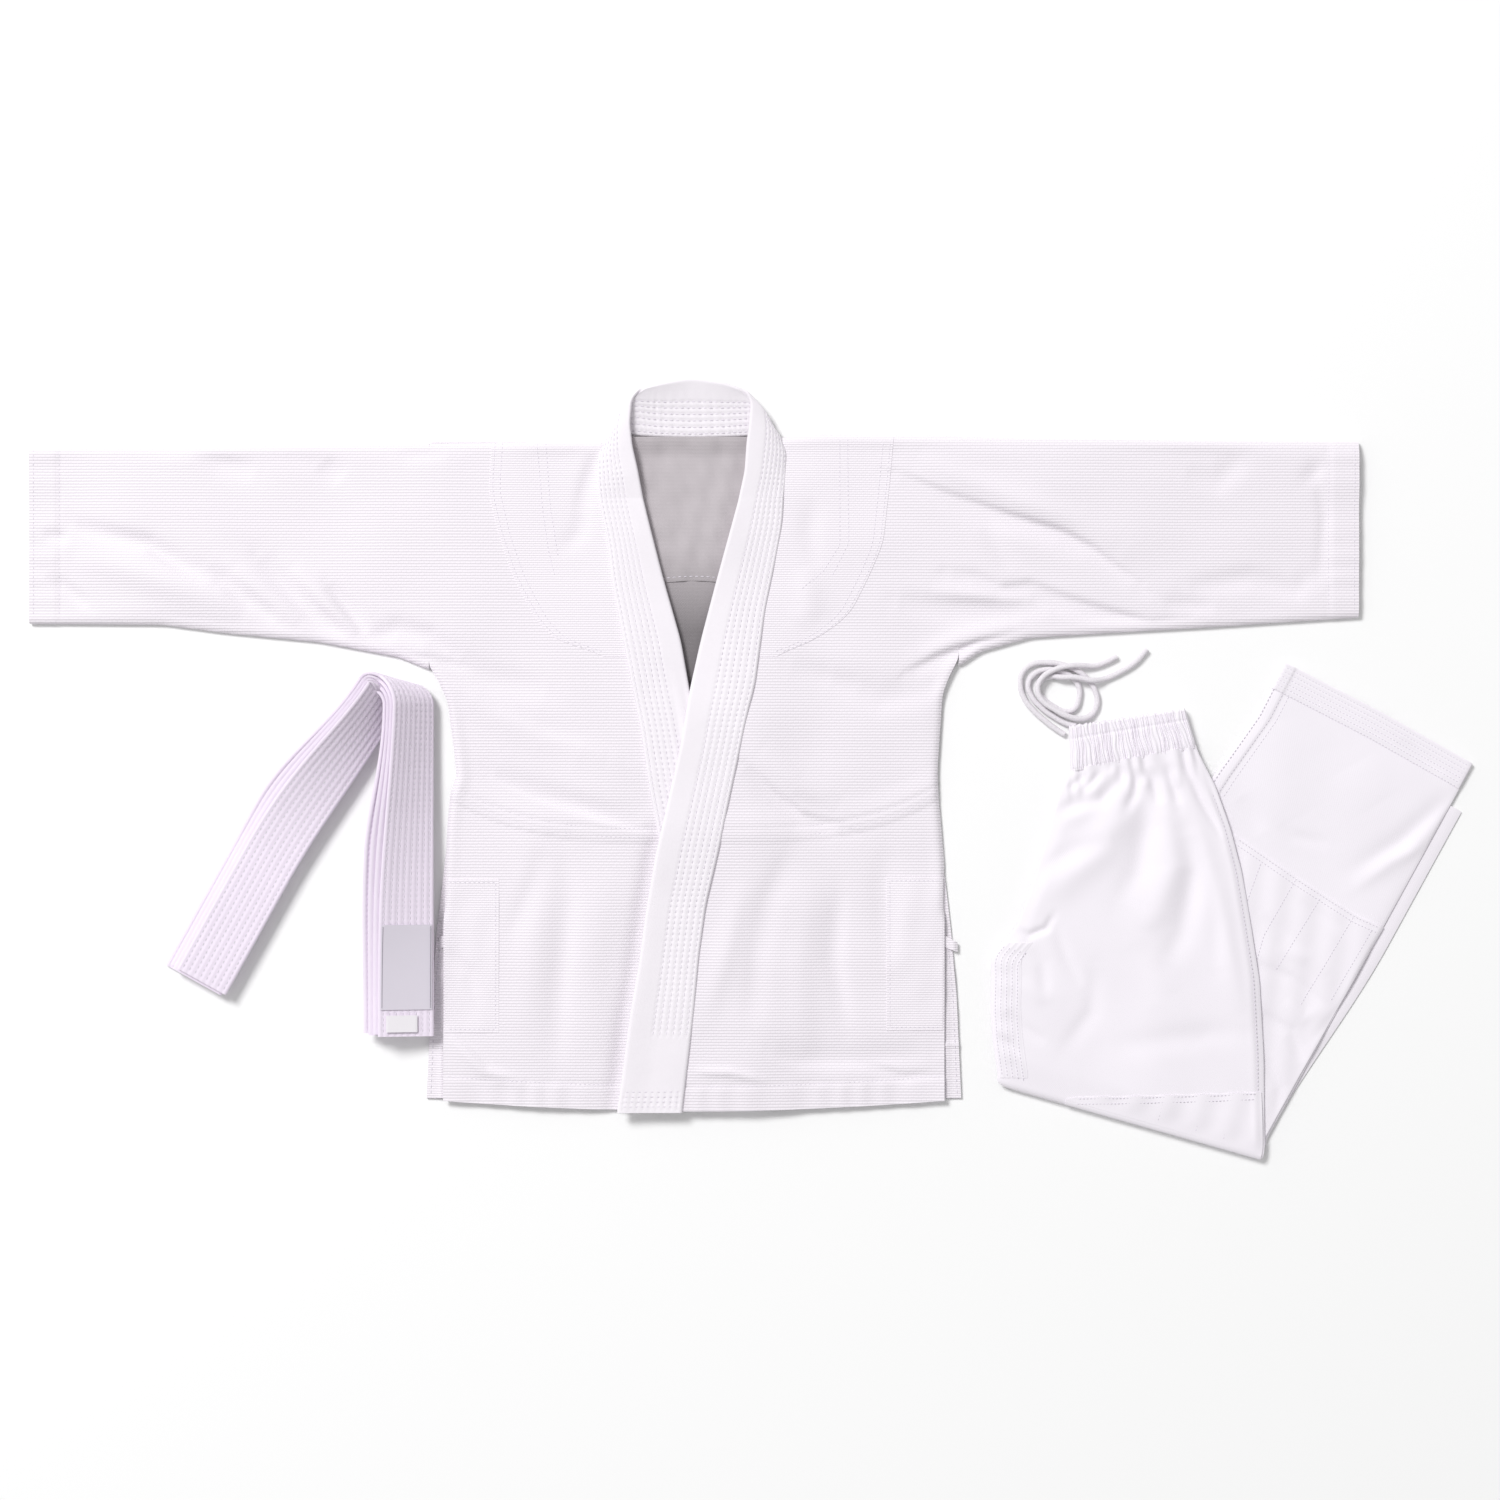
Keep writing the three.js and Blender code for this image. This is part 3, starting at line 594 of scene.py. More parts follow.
RIGHT_CREASES = [
    ([(180, -28), (230, -49), (275, -65), (329, -82), (356, -96), (379, -114), (402, -130)], -3.4, 3.2, 12),
    ([(196, -12), (240, -34), (290, -54), (345, -74), (385, -100)], 1.8, 12, 9),
    ([(228, -52), (262, -76), (278, -104), (290, -118)], -1.3, 9, 8),
    ([(226, -118), (253, -122), (276, -134), (302, -131), (330, -143), (366, -154), (410, -166), (446, -161)],
     -3.0, 5, 10),
    ([(180, -144), (230, -152), (275, -154), (322, -147)], -2.8, 9, 11),
    ([(210, -136), (262, -140), (300, -142)], 1.6, 8, 6),
    ([(190, -209), (221, -194), (257, -182), (280, -178)], -3.0, 3.0, 8),
    ([(200, -195), (240, -178), (290, -166)], 1.9, 9, 7),
    ([(120, -214), (168, -232), (212, -222), (232, -206)], -1.6, 14, 12),
    ([(86, -202), (118, -212), (150, -224)], -1.2, 10, 10),
    ([(440, -28), (470, -37), (494, -14)], -1.3, 10, 10),
    ([(440, -132), (500, -124), (540, -134), (560, -116)], -1.7, 9, 9),
    ([(420, -146), (470, -150)], -1.2, 8, 8),
    ([(566, -18), (548, -40)], -1.1, 7, 9),
    ([(560, -30), (566, -70), (562, -130)], -0.9, 5, 5),
    ([(46, -290), (68, -313), (96, -337), (134, -347)], -2.9, 3.4, 12),
    ([(58, -276), (92, -310), (132, -330)], 1.5, 12, 8),
    ([(88, -366), (66, -413), (56, -460), (52, -530)], -1.9, 12, 10),
    ([(46, -392), (26, -470), (10, -520)], 1.4, 10, 12),
    ([(131, -398), (126, -466), (138, -532)], -1.8, 8, 10),
    ([(108, -380), (96, -470), (100, -560)], 1.3, 14, 14),
    ([(176, -362), (170, -400), (174, -480)], -1.5, 12, 12),
    ([(68, -548), (96, -557), (150, -556), (212, -552)], -1.9, 12, 6),
    ([(-2, -566), (34, -567), (62, -574)], 1.9, 3.4, 4),
    ([(108, -50), (104, -84), (110, -116)], -1.0, 10, 10),
    ([(100, -112), (104, -150), (92, -168)], 1.2, 12, 12),
    ([(152, -560), (190, -571), (218, -568)], -1.4, 3, 6),
]


CREASE_DEPTH = 1.55
DEEPEST = 5.0


def lie(x, y, creases, seed):
    """Height of the jacket's upper cloth above its lowest lie, from its creases and slow unevenness."""
    height = 1.3 * waves(x, y, 170, seed) + 0.6 * waves(x, y, 62, seed + 1)
    depth = CREASE_DEPTH * (1 + 0.35 * smooth_step(240, 330, np.abs(x)))
    for route, rise, left, right in creases:
        height = height + depth * crease(x, y, route, rise, left, right)
    return np.where(height < 0, DEEPEST * np.tanh(height / DEEPEST), height)


def sewn_steps(x, y):
    """The lap of the chest seam, the turned-up hem, and the cuffs, as small steps and puckers."""
    torso = smooth_step(ARMHOLE + 2, ARMHOLE - 8, np.abs(x))
    off_seam = y - seam_line(x)
    seam = 1.3 * smooth_step(-1.2, 0.6, off_seam) * smooth_step(34, 13, off_seam)
    seam -= 0.8 * (hill(off_seam, 3.2, 1.4) + hill(off_seam, 11.0, 1.4))
    off_hem = y - (hem_line(x) + 22)
    hem = 0.7 * smooth_step(1.0, -1.0, off_hem) - 0.6 * hill(off_hem, 0, 1.6)
    hem += 0.35 * np.sin(x / 3.9 + 2.2 * np.sin(x / 23)) * smooth_step(5, -5, off_hem)
    off_cuff = np.abs(x) - 570
    cuff = 0.7 * smooth_step(-1.0, 1.0, off_cuff) - 0.6 * hill(off_cuff, 0, 1.6)
    cuff += 0.3 * np.sin(y / 4.2 + 2 * np.sin(y / 19)) * smooth_step(-4, 4, off_cuff)
    return torso * (seam + hem) + cuff


EDGE_LEVEL = 2.6
REST_LEVEL = 7.4


def jacket_top(x, y, creases, seed):
    inside = inset(x, y)
    crown = lie(x, y, creases, seed) * smooth_step(0, 16, inside) + sewn_steps(x, y)
    return EDGE_LEVEL + (REST_LEVEL - EDGE_LEVEL) * rounded(inside, 7.0) + crown


def left_top(x, y):
    """Top of the under front and its sleeve; it lies low where the over front crosses it."""
    covered = smooth_step(-12, 14, x - OVER_IN(y)) * smooth_step(-190, -240, y)
    dip = 3.4 * hill(x - OVER_IN(y), -3, 9) * smooth_step(-330, -380, y)
    return (jacket_top(x, y, LEFT_CREASES, 3) - dip) * (1 - covered) + (REST_LEVEL - 1.2) * covered


def right_top(x, y):
    """Top of the over front and its sleeve, which rises over the under front's band."""
    crossing = smooth_step(-150, -262, y)
    humped = 5.6 * smooth_step(120, 48, x) * crossing
    settled = 2.0 * smooth_step(-18, -46, x - UNDER_OUT(y)) * smooth_step(-300, -420, y)
    return jacket_top(x, y, RIGHT_CREASES, 11) + humped - settled


FRONT_TOP = {-1: left_top, 1: right_top}
SIDE_NAME = {-1: "left", 1: "right"}
LAYER = {-1: "under", 1: "over"}
FLAP = {-1: "under_flap", 1: "over_flap"}


def flat_uv(x, y):
    return np.stack(np.broadcast_arrays(x, y), -1) * MM


def panel(name, cells, x_edges, y_edges, top):
    """A cloth panel between two side rules x(y) and two end rules y(x), lying at top(x, y)."""
    low_y, high_y = y_edges

    def place(u, v):
        near = low_y(0) + (high_y(0) - low_y(0)) * v
        x = x_edges[0](near) + (x_edges[1](near) - x_edges[0](near)) * u
        return x, low_y(x) + (high_y(x) - low_y(x)) * v

    def shape(u, v):
        x, y = place(u, v)
        return JACKET(x, y, top(x, y))

    return grid(name, *cells, shape, uv=lambda u, v: flat_uv(*place(u, v)))


def level(value):
    """An edge that keeps one value all along."""
    return lambda other: value


def across_fold(side, reach):
    """The two points between which a front's cloth turns, square to its diagonal fold line."""
    (ax, ay), (bx, by) = FOLD_TOP, FOLD_FOOT
    mid = ((ax + bx) / 2 * side, (ay + by) / 2)
    run = math.hypot(bx - ax, by - ay)
    inward = (-(ay - by) / run * side, -(bx - ax) / run)
    points = [JACKET(mid[0] + inward[0] * s, mid[1] + inward[1] * s, FOLD_HEIGHT) for s in (-reach, reach)]
    return [tuple(float(c) for c in p) for p in points]


def bend_front(piece, side):
    FLAP[side]
    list(across_fold(side, 12))
    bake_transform(piece)


def below_neck(side):
    """The two points between which a lapel turns with its front."""
    return [tuple(float(c) for c in JACKET(70 * side, y, FOLD_HEIGHT)) for y in (4, -58)]


# ---- Stitches ----
# Pitch and length of a stitch: the jacket's seams and patches, the trousers' patches, the trousers' seams.
SEAM = {"pitch": 0.004, "size": 0.0026}
PATCH_SEAM = {"pitch": 0.0032, "size": 0.0022}
LEG_SEAM = {"pitch": 0.0036, "size": 0.0024}
SUNK = -0.05  # millimetres that the thread sinks into the cloth


def rows_of_stitches(name, routes, pitch=None, size=None, width=None):
    """One mesh of raised stitches. Each route is an array of metre points along a row; a stitch is a small bead."""
    sewing = settings("uniform_sewing")
    pitch = pitch or sewing.pitch
    size = size or sewing.stitch
    width = width or sewing.thread
    deselect()
    bpy.ops.mesh.primitive_uv_sphere_add(segments=6, ring_count=4, radius=0.5)
    piece = bpy.context.object
    piece.name = piece.data.name = name
    bead = np.array([v.co[:] for v in piece.data.vertices])
    faces = [tuple(f.vertices) for f in piece.data.polygons]
    all_points, all_faces = [], []
    for route in routes:
        route = np.asarray(route, float)
        steps = np.linalg.norm(np.diff(route, axis=0), axis=1)
        along = np.concatenate([[0], np.cumsum(steps)])
        count = max(1, int(along[-1] / pitch))
        spots = (np.arange(count) + 0.5) * along[-1] / count
        start = np.stack([np.interp(spots - size / 2, along, route[:, i]) for i in range(3)], -1)
        end = np.stack([np.interp(spots + size / 2, along, route[:, i]) for i in range(3)], -1)
        forward = end - start
        reach = np.linalg.norm(forward, axis=1, keepdims=True)
        forward = forward / np.maximum(reach, 1e-9)
        across = np.cross((0, 0, 1.0), forward)
        across /= np.maximum(np.linalg.norm(across, axis=1, keepdims=True), 1e-9)
        upward = np.cross(forward, across)
        middle = (start + end) / 2
        for i in range(count):
            base = len(all_points) * len(bead)
            turned = (middle[i] + bead[:, :1] * forward[i] * size + bead[:, 1:2] * across[i] * width
                      + bead[:, 2:] * upward[i] * width * 0.8)
            all_points.append(turned)
            all_faces.extend(tuple(v + base for v in f) for f in faces)
    mesh = bpy.data.meshes.new(name)
    mesh.from_pydata(np.concatenate(all_points).tolist(), [], all_faces)
    old = piece.data
    piece.data = mesh
    bpy.data.meshes.remove(old)
    mesh.name = name
    layer = mesh.uv_layers.new(name="UVMap")
    corners = np.array([mesh.vertices[loop.vertex_index].co[:2] for loop in mesh.loops], np.float32)
    layer.data.foreach_set("uv", corners.ravel())
    smooth(piece)
    return paint(piece, sewing_thread())


def on_top(top, xs, ys, lift=0.0):
    xs, ys = np.broadcast_arrays(np.asarray(xs, float), np.asarray(ys, float))
    return JACKET(xs, ys, top(xs, ys) + lift)


# ---- Jacket pieces ----
class PieceOperator:
    """What every piece's operator shares."""

    bl_options = {"REGISTER", "UNDO"}

    def execute(self, context):
        self.build()
        deselect()
        return {"FINISHED"}


# Corners of the part of the back that shows through the neck opening, whose upper faces take the neck lining's grey
# with its painted shade.
NECK_SHADE = ((-66, -232), (66, 4))


class UNIFORM_OT_back(PieceOperator, bpy.types.Operator):
    """The jacket's back, from the shoulders to the hem, with its neck lining and the facings of its slits"""

    bl_idname = "uniform.back"
    bl_label = "Back"

    def build(self):
        cloth = settings("uniform_cloth")

        def back_edge(side):
            slit = edge_rule((0, 236), (-204, 236), (-236, 219), (-300, 212), (-340, 219), (-446, 231),
                             (-500, 236), (-640, 242), soft=5)
            return lambda y: side * slit(y)

        def top(x, y):
            return cloth.pearl / MM + 0.5 + 0.35 * waves(x, y, 120, 21)

        edges = (back_edge(-1), back_edge(1))
        back = panel("back_cloth", (120, 150), edges, (lambda x: hem_line(x) + 1.5, level(-1.0)), top)
        thicken(back, cloth.pearl / MM)
        paint(back, jacket_cloth())
        # Painted shade: the back's upward faces inside NECK_SHADE get the grey neck lining, standing for the shade
        # between the fronts.
        back.data.materials.append(lining_cloth())
        low, high = (JACKET(x, y, 0) for x, y in NECK_SHADE)
        for face in back.data.polygons:
            inside = low[0] < face.center.x < high[0] and low[1] < face.center.y < high[1]
            face.material_index = int(inside and face.normal.z > 0.5)
        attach(back, "jacket")
        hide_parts("back_body", "back_skirt", "back_hem_facing")

        def lining_top(x, y):
            wrinkles = 0.5 * waves(x, y, 34, 31) + 0.4 * waves(x, y, 15, 32)
            return 3.0 + wrinkles + 5.5 * smooth_step(-16, 4, y)

        foot = lambda x: -129 + 3 * np.cos(x / 24)
        lining = panel("neck_lining", (64, 70), (level(-70), level(70)), (foot, level(3.0)), lining_top)
        thicken(lining, cloth.facing / MM)
        paint(lining, lining_cloth())
        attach(lining, "jacket")
        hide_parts("inner_neck_yoke")
        hem_row = [on_top(lining_top, np.linspace(-66, 66, 60), foot(np.linspace(-66, 66, 60)) + 4, 0.1)]
        row = rows_of_stitches("neck_lining_stitches", hem_row)
        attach(row, "jacket")

        for side in (-1, 1):
            inner, outer = level(side * 224), back_edge(side)
            pair = (outer, inner) if side < 0 else (inner, outer)

            def facing_top(x, y, side=side):
                tuck = 1.3 * hill(y, -543, 2.2) + 0.5 * np.sin(y / 6.0) * hill(y, -470, 60)
                return top(x, y) + cloth.facing / MM + 0.4 + 0.9 * hill(np.abs(x), 227, 3) + tuck

            facing = panel(f"{SIDE_NAME[side]}_slit_facing", (14, 90), pair,
                           (lambda x: hem_line(x) + 2.2, level(-450)), facing_top)
            thicken(facing, cloth.facing / MM)
            paint(facing, patch_cloth())
            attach(facing, "jacket")
            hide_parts(f"{SIDE_NAME[side]}_vent_facing")
            ys = np.linspace(-588, -456, 120)
            row = rows_of_stitches(f"{SIDE_NAME[side]}_slit_stitches",
                                   [on_top(facing_top, back_edge(side)(ys) - side * 3.2, ys, 0.1)])
            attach(row, "jacket")
            self.gusset(side)

    def gusset(self, side):
        """The small triangle of doubled cloth that closes the top of a slit."""
        out = 237 if side > 0 else 229

        def gusset_top(x, y):
            near = np.abs(x)
            return 4.6 + 1.1 * hill(near, out - 4, 3) - 0.8 * smooth_step(out - 3, out, near)

        slope = lambda x: -444 - 0.55 * np.clip(np.abs(x) - 224, 0, None)
        foot = lambda x: -455 - 0.35 * np.clip(np.abs(x) - 224, 0, None)
        inner, outer = level(side * 219), level(side * out)
        pair = (outer, inner) if side < 0 else (inner, outer)
        piece = panel(f"{SIDE_NAME[side]}_slit_gusset", (18, 12), pair, (foot, slope), gusset_top)
        thicken(piece, 1.6)
        paint(piece, patch_cloth())
        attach(piece, "jacket")
        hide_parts(f"{SIDE_NAME[side]}_vent_gusset")


def front_edges(side):
    """The outer edge and the edge sewn into the band, as a pair from left to right."""
    seam = (lambda y: UNDER_OUT(y) + 7) if side < 0 else (lambda y: OVER_OUT(y) - 7)
    outer = lambda y: side * SIDE[side](y)
    return (outer, seam) if side < 0 else (seam, outer)


class UNIFORM_OT_fronts(PieceOperator, bpy.types.Operator):
    """Both fronts of the jacket, each one cloth from its side seam to its band"""

    bl_idname = "uniform.fronts"
    bl_label = "Fronts"

    def build(self):
        cloth = settings("uniform_cloth")
        for side in (-1, 1):
            top = FRONT_TOP[side]
            layer = LAYER[side]
            front = panel(f"{layer}_front_cloth", (92, 240), front_edges(side), (hem_line, sleeve_top), top)
            thicken(front, cloth.pearl / MM)
            paint(front, jacket_cloth())
            bend_front(front, side)
            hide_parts(f"{layer}_front", f"{layer}_front_skirt", f"{SIDE_NAME[side]}_side_front",
                        f"{SIDE_NAME[side]}_side_skirt", f"{layer}_hem_facing")
            self.seams(side, top, layer)
            self.trims(side, top, layer, cloth)

    def seams(self, side, top, layer):
        xs = np.linspace(-216, -36, 300) if side < 0 else np.linspace(30, 218, 300)
        lines = [on_top(top, xs, seam_line(xs) + off, SUNK) for off in (3.2, 11.0)]
        hem_xs = np.linspace(-222, -72, 220) if side < 0 else np.linspace(2, 222, 300)
        lines.append(on_top(top, hem_xs, hem_line(hem_xs) + 22, SUNK))
        stitches = rows_of_stitches(f"{layer}_front_stitches", lines, **SEAM)
        bend_front(stitches, side)

    def trims(self, side, top, layer, cloth):
        if side < 0:
            border = edge_rule((4, -181), (-45, -184), (-84, -175), (-122, -162), (-149, -148), (-169, -136),
                               (-186, -112), (-194, -68))
            pair = (border, lambda y: UNDER_OUT(y) + 3)
            second = ([(-141, -2), (-136, -61), (-131, -97), (-125, -122)], [(-133, -2), (-129, -60), (-122, -104)])
        else:
            border = edge_rule((4, 180), (-40, 176), (-94, 170), (-122, 158), (-157, 140), (-178, 112),
                               (-190, 84), (-195, 64))
            pair = (lambda y: OVER_OUT(y) - 3, border)
            second = ([(131, 2), (131, -94), (116, -118), (96, -134)], [(138, 2), (139, -92), (124, -122)])
        patch_top = lambda x, y: top(x, y) + 0.4
        patch = panel(f"{SIDE_NAME[side]}_shoulder_lining", (60, 90), pair,
                      (level(-194), lambda x: sleeve_top(x) - 1.0), patch_top)
        thicken(patch, cloth.facing / MM)
        paint(patch, patch_cloth())
        bend_front(patch, side)
        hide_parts(f"{SIDE_NAME[side]}_shoulder_patch")
        ys = np.linspace(-2, -190, 200)
        lines = [on_top(patch_top, border(ys) - side * off, ys, SUNK) for off in (3.0, 9.5)]
        for route in second:
            route = np.array(route, float)
            t = np.linspace(0, len(route) - 1, 90)
            knots = np.arange(len(route))
            lines.append(on_top(patch_top, np.interp(t, knots, route[:, 0]), np.interp(t, knots, route[:, 1]), SUNK))
        rows = rows_of_stitches(f"{SIDE_NAME[side]}_shoulder_stitches", lines, **SEAM)
        bend_front(rows, side)

        edges = (-223.5, -175) if side < 0 else (173, 223.5)
        foot, head = (-532, -394) if side < 0 else (-530, -392.5)
        vent_top = lambda x, y: top(x, y) + 0.45 + 0.25 * waves(x, y, 30, 41)
        vent = panel(f"{layer}_vent_lining", (24, 62), (level(edges[0]), level(edges[1])),
                     (level(foot), level(head)), vent_top)
        thicken(vent, cloth.facing / MM)
        paint(vent, patch_cloth())
        bend_front(vent, side)
        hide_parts(f"{layer}_vent_patch")
        inner = edges[1] - 3 if side < 0 else edges[0] + 3
        along = np.linspace(foot + 3, head - 3, 90)
        xs = np.linspace(edges[0] + 3, edges[1] - 3, 40)
        rows = rows_of_stitches(f"{layer}_vent_stitches", [
            on_top(vent_top, inner, along, SUNK), on_top(vent_top, xs, foot + 3, SUNK),
            on_top(vent_top, xs, head - 3, SUNK)], **SEAM)
        bend_front(rows, side)


class UNIFORM_OT_sleeves(PieceOperator, bpy.types.Operator):
    """Both sleeves, each a flat tube of cloth with a stitched cuff"""

    bl_idname = "uniform.sleeves"
    bl_label = "Sleeves"

    def build(self):
        cloth = settings("uniform_cloth")
        for side in (-1, 1):
            top = FRONT_TOP[side]
            name = SIDE_NAME[side]

            def place(u, v, side=side, top=top):
                reach = ARMHOLE + (597 - ARMHOLE) * u
                x = side * reach
                around = v * 2
                over = around <= 1
                share = np.where(over, around, 2 - around)
                eased = 0.5 - 0.5 * np.cos(np.pi * share)
                high, low = sleeve_top(x), sleeve_under(x)
                y = high + (low - high) * eased
                above = top(x, y)
                below = EDGE_LEVEL - (EDGE_LEVEL - 0.25) * rounded(inset(x, y), 5.0)
                return x, y, np.where(over, above, below)

            def shape(u, v, place=place):
                return JACKET(*place(u, v))

            sleeve = grid(f"{name}_sleeve_cloth", 120, 232, shape, uv=lambda u, v, p=place: flat_uv(*p(u, v)[:2]))
            close_tube(sleeve)
            apply_modifier(sleeve, "SOLIDIFY", thickness=cloth.pearl * 0.8, offset=-1.0, use_even_offset=False)
            smooth(sleeve)
            paint(sleeve, jacket_cloth())
            fold = JOINTS[f"{name}_sleeve_fold"]["pos_m"]
            start, end = [(fold[0] + side * s, fold[1], fold[2]) for s in (-0.009, 0.009)]
            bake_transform(sleeve)
            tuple(start)
            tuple(end)
            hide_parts(*[f"{name}_{part}" for part in (
                "upper_sleeve_back", "upper_sleeve_front", "lower_sleeve_back", "lower_sleeve_front",
                "cuff_facing")])
            ys = np.linspace(-8, float(sleeve_under(side * 570.0)) + 8, 160)
            rows = rows_of_stitches(f"{name}_cuff_stitches", [on_top(top, side * 570, ys, SUNK),
                                                              on_top(top, side * 593, ys, 0.0)],
                                    **SEAM)
            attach(rows, f"{name}_sleeve")


# ---- Padded bands: the collar and the belt ----
def band_points(section, t, w, facing, reach):
    """Points that stand reach millimetres off a band's middle surface, on its outer side where reach is above 0."""
    middle = lambda at, share: np.stack(np.broadcast_arrays(*section(at, share)), -1)
    step = 2e-3
    along = middle(np.clip(t + step, 0, 1), w) - middle(np.clip(t - step, 0, 1), w)
    across = middle(t, np.clip(w + step, 0, 1)) - middle(t, np.clip(w - step, 0, 1))
    normal = np.cross(along, across) * facing
    normal /= np.maximum(np.linalg.norm(normal, axis=-1, keepdims=True), 1e-9)
    return middle(t, w) + normal * np.asarray(reach)[..., None]


def band(name, section, facing, thickness, cells, size, quilt, place):
    """A closed padded band. section(t, w) gives its middle surface along (t) and across (w, from the sewn edge)."""

    def across(v):
        share = np.where(v <= 0.5, v * 2, 2 - v * 2)
        return 0.65 * share + 0.35 * (0.5 - 0.5 * np.cos(np.pi * share))

    def shape(u, v):
        w = across(v)
        outer = v <= 0.5
        edge = rounded(np.minimum(w, 1 - w), 0.06)
        reach = np.where(outer, 1, -1) * (thickness / 2 + quilt(u, w, outer)) * edge
        points = band_points(section, u, w, facing, reach)
        return place(points[:, 0], points[:, 1], points[:, 2])

    def cloth_uv(u, v):
        return np.stack([across(v) * size[1], u * size[0]], -1) * MM

    piece = grid(name, *cells, shape, uv=cloth_uv)
    edit(piece, merge_seam, lambda: bpy.ops.mesh.fill_holes(sides=0), face_outwards)
    if enclosed(piece) < 0:
        edit(piece, bpy.ops.mesh.flip_normals)
    smooth(piece)
    return piece


def band_rows(section, facing, reach, shares, span, place):
    """Metre points along each stitch row of a band."""
    t = np.linspace(*span, 320)
    routes = []
    for share in shares:
        points = band_points(section, t, np.full_like(t, share), facing, np.full_like(t, reach))
        routes.append(place(points[:, 0], points[:, 1], points[:, 2]))
    return routes


ROW_END = 0.006  # share of a band's length over which a row of stitches fades in and out


def quilting(run, shares, width, depth, span=(0.0, 1.0), both=False):
    """Dents along stitch rows: a groove with a dimple between two stitches. run is the band's length, width its
    width, in millimetres."""
    pitch = settings("uniform_sewing").pitch / MM

    def quilt(t, w, outer):
        grooves = sum(hill((w - share) * width, 0, 1.25) for share in shares)
        dimples = 0.6 + 0.4 * np.cos(2 * np.pi * t * run / pitch)
        begun = smooth_step(span[0] - ROW_END, span[0] + ROW_END, t)
        sewn = begun * (1 - smooth_step(span[1] - ROW_END, span[1] + ROW_END, t))
        return -depth * grooves * dimples * sewn * np.where(outer | both, 1.0, 0.3)

    return quilt


BAND_THICKNESS = 4.2
LAPEL_START = -52


def lapel_section(side):
    sewn_edge, free_edge = (OVER_OUT, OVER_IN) if side > 0 else (UNDER_OUT, UNDER_IN)
    foot = -603 if side > 0 else -598
    stations = np.arange(-700, 41, 2.0)
    spread = np.exp(-(np.arange(-60, 61, 2.0) / 26) ** 2)
    under = np.convolve(np.pad(FRONT_TOP[side](sewn_edge(stations), stations), 30, mode="edge"),
                        spread / spread.sum(), "valid")

    def section(t, w):
        y = LAPEL_START + (foot - LAPEL_START) * t
        sewn, free = sewn_edge(y), free_edge(y)
        x = sewn + (free - sewn) * w
        rolled = 3.4 * w * smooth_step(0.22, 0.0, t)
        crown = 1.8 * w * (1 - w)
        z = np.interp(y, stations, under) + 0.3 + crown + rolled
        if side > 0:
            bridging = smooth_step(-196, -262, y) * (1 - smooth_step(-330, -450, y))
            z = z + 1.6 * w * bridging + 0.3 + 2.2 * smooth_step(0.5, 1.0, w) * smooth_step(-330, -400, y)
        else:
            puckers = hill(y, -272, 40) * smooth_step(0.45, 0.75, w)
            z = z + 0.5 + 0.8 * np.sin(w * 26) * puckers
        return x, y, z + 0.45 * waves(x, y, 95, 51 + side)

    return section


def collar_rule():
    """The collar behind the neck as a rule from the left lapel's top (0) to the right one's (1): the sewn edge, a
    point that the band bulges towards, and the free edge, each as x, y, z."""

    def end(side):
        section = lapel_section(side)
        sewn, middle, free = (np.array([float(c) for c in section(0.0, w)]) for w in (0.0, 0.5, 1.0))
        return (*sewn, *(2 * middle - (sewn + free) / 2), *free)

    table = np.array([
        (0.00, *end(-1)),
        (0.09, -86.3, -34, 7.0, -68, -30, 12.5, -50, -27, 13.4),
        (0.17, -85.5, -14, 6.4, -72, -10, 14.0, -55, -5, 13.6),
        (0.25, -77, 2, 5.0, -73, 12, 13.0, -57, 15, 14.2),
        (0.32, -62, 6, 4.0, -71, 30, 11.0, -55, 36, 14.4),
        (0.38, -50, 4, 3.4, -60, 38, 8.5, -46, 46.5, 14.0),
        (0.44, -32, 3, 3.2, -32, 32, 6.0, -27, 51.5, 15.0),
        (0.50, -2, 2, 3.2, -2, 30, 5.4, -2, 56.0, 13.5),
        (0.56, 32, 3, 3.2, 30, 32, 6.0, 27, 51.5, 15.0),
        (0.62, 50, 4, 3.4, 58, 36, 8.5, 45, 44.5, 14.0),
        (0.68, 66, 6, 4.0, 71, 27, 11.0, 51, 33, 14.4),
        (0.75, 77, 3, 5.0, 73, 10, 13.0, 49.5, 14, 14.2),
        (0.83, 82.5, -12, 6.4, 70, -9, 14.0, 47, -5, 13.6),
        (0.91, 82, -32, 7.0, 66, -29, 12.5, 45.5, -28, 13.4),
        (1.00, *end(1)),
    ])
    soft = np.linspace(-0.016, 0.016, 7)

    def section(t, w):
        inner = np.clip(t, 0, 1)
        narrow = np.minimum(1, np.minimum(inner, 1 - inner) / 0.03)
        at = [np.mean([np.interp(inner + o * narrow, table[:, 0], table[:, k]) for o in soft], axis=0)
              for k in range(1, 10)]
        a, b, c = (1 - w) ** 2, 2 * w * (1 - w), w ** 2
        return [a * at[i] + b * at[3 + i] + c * at[6 + i] for i in range(3)]

    return section


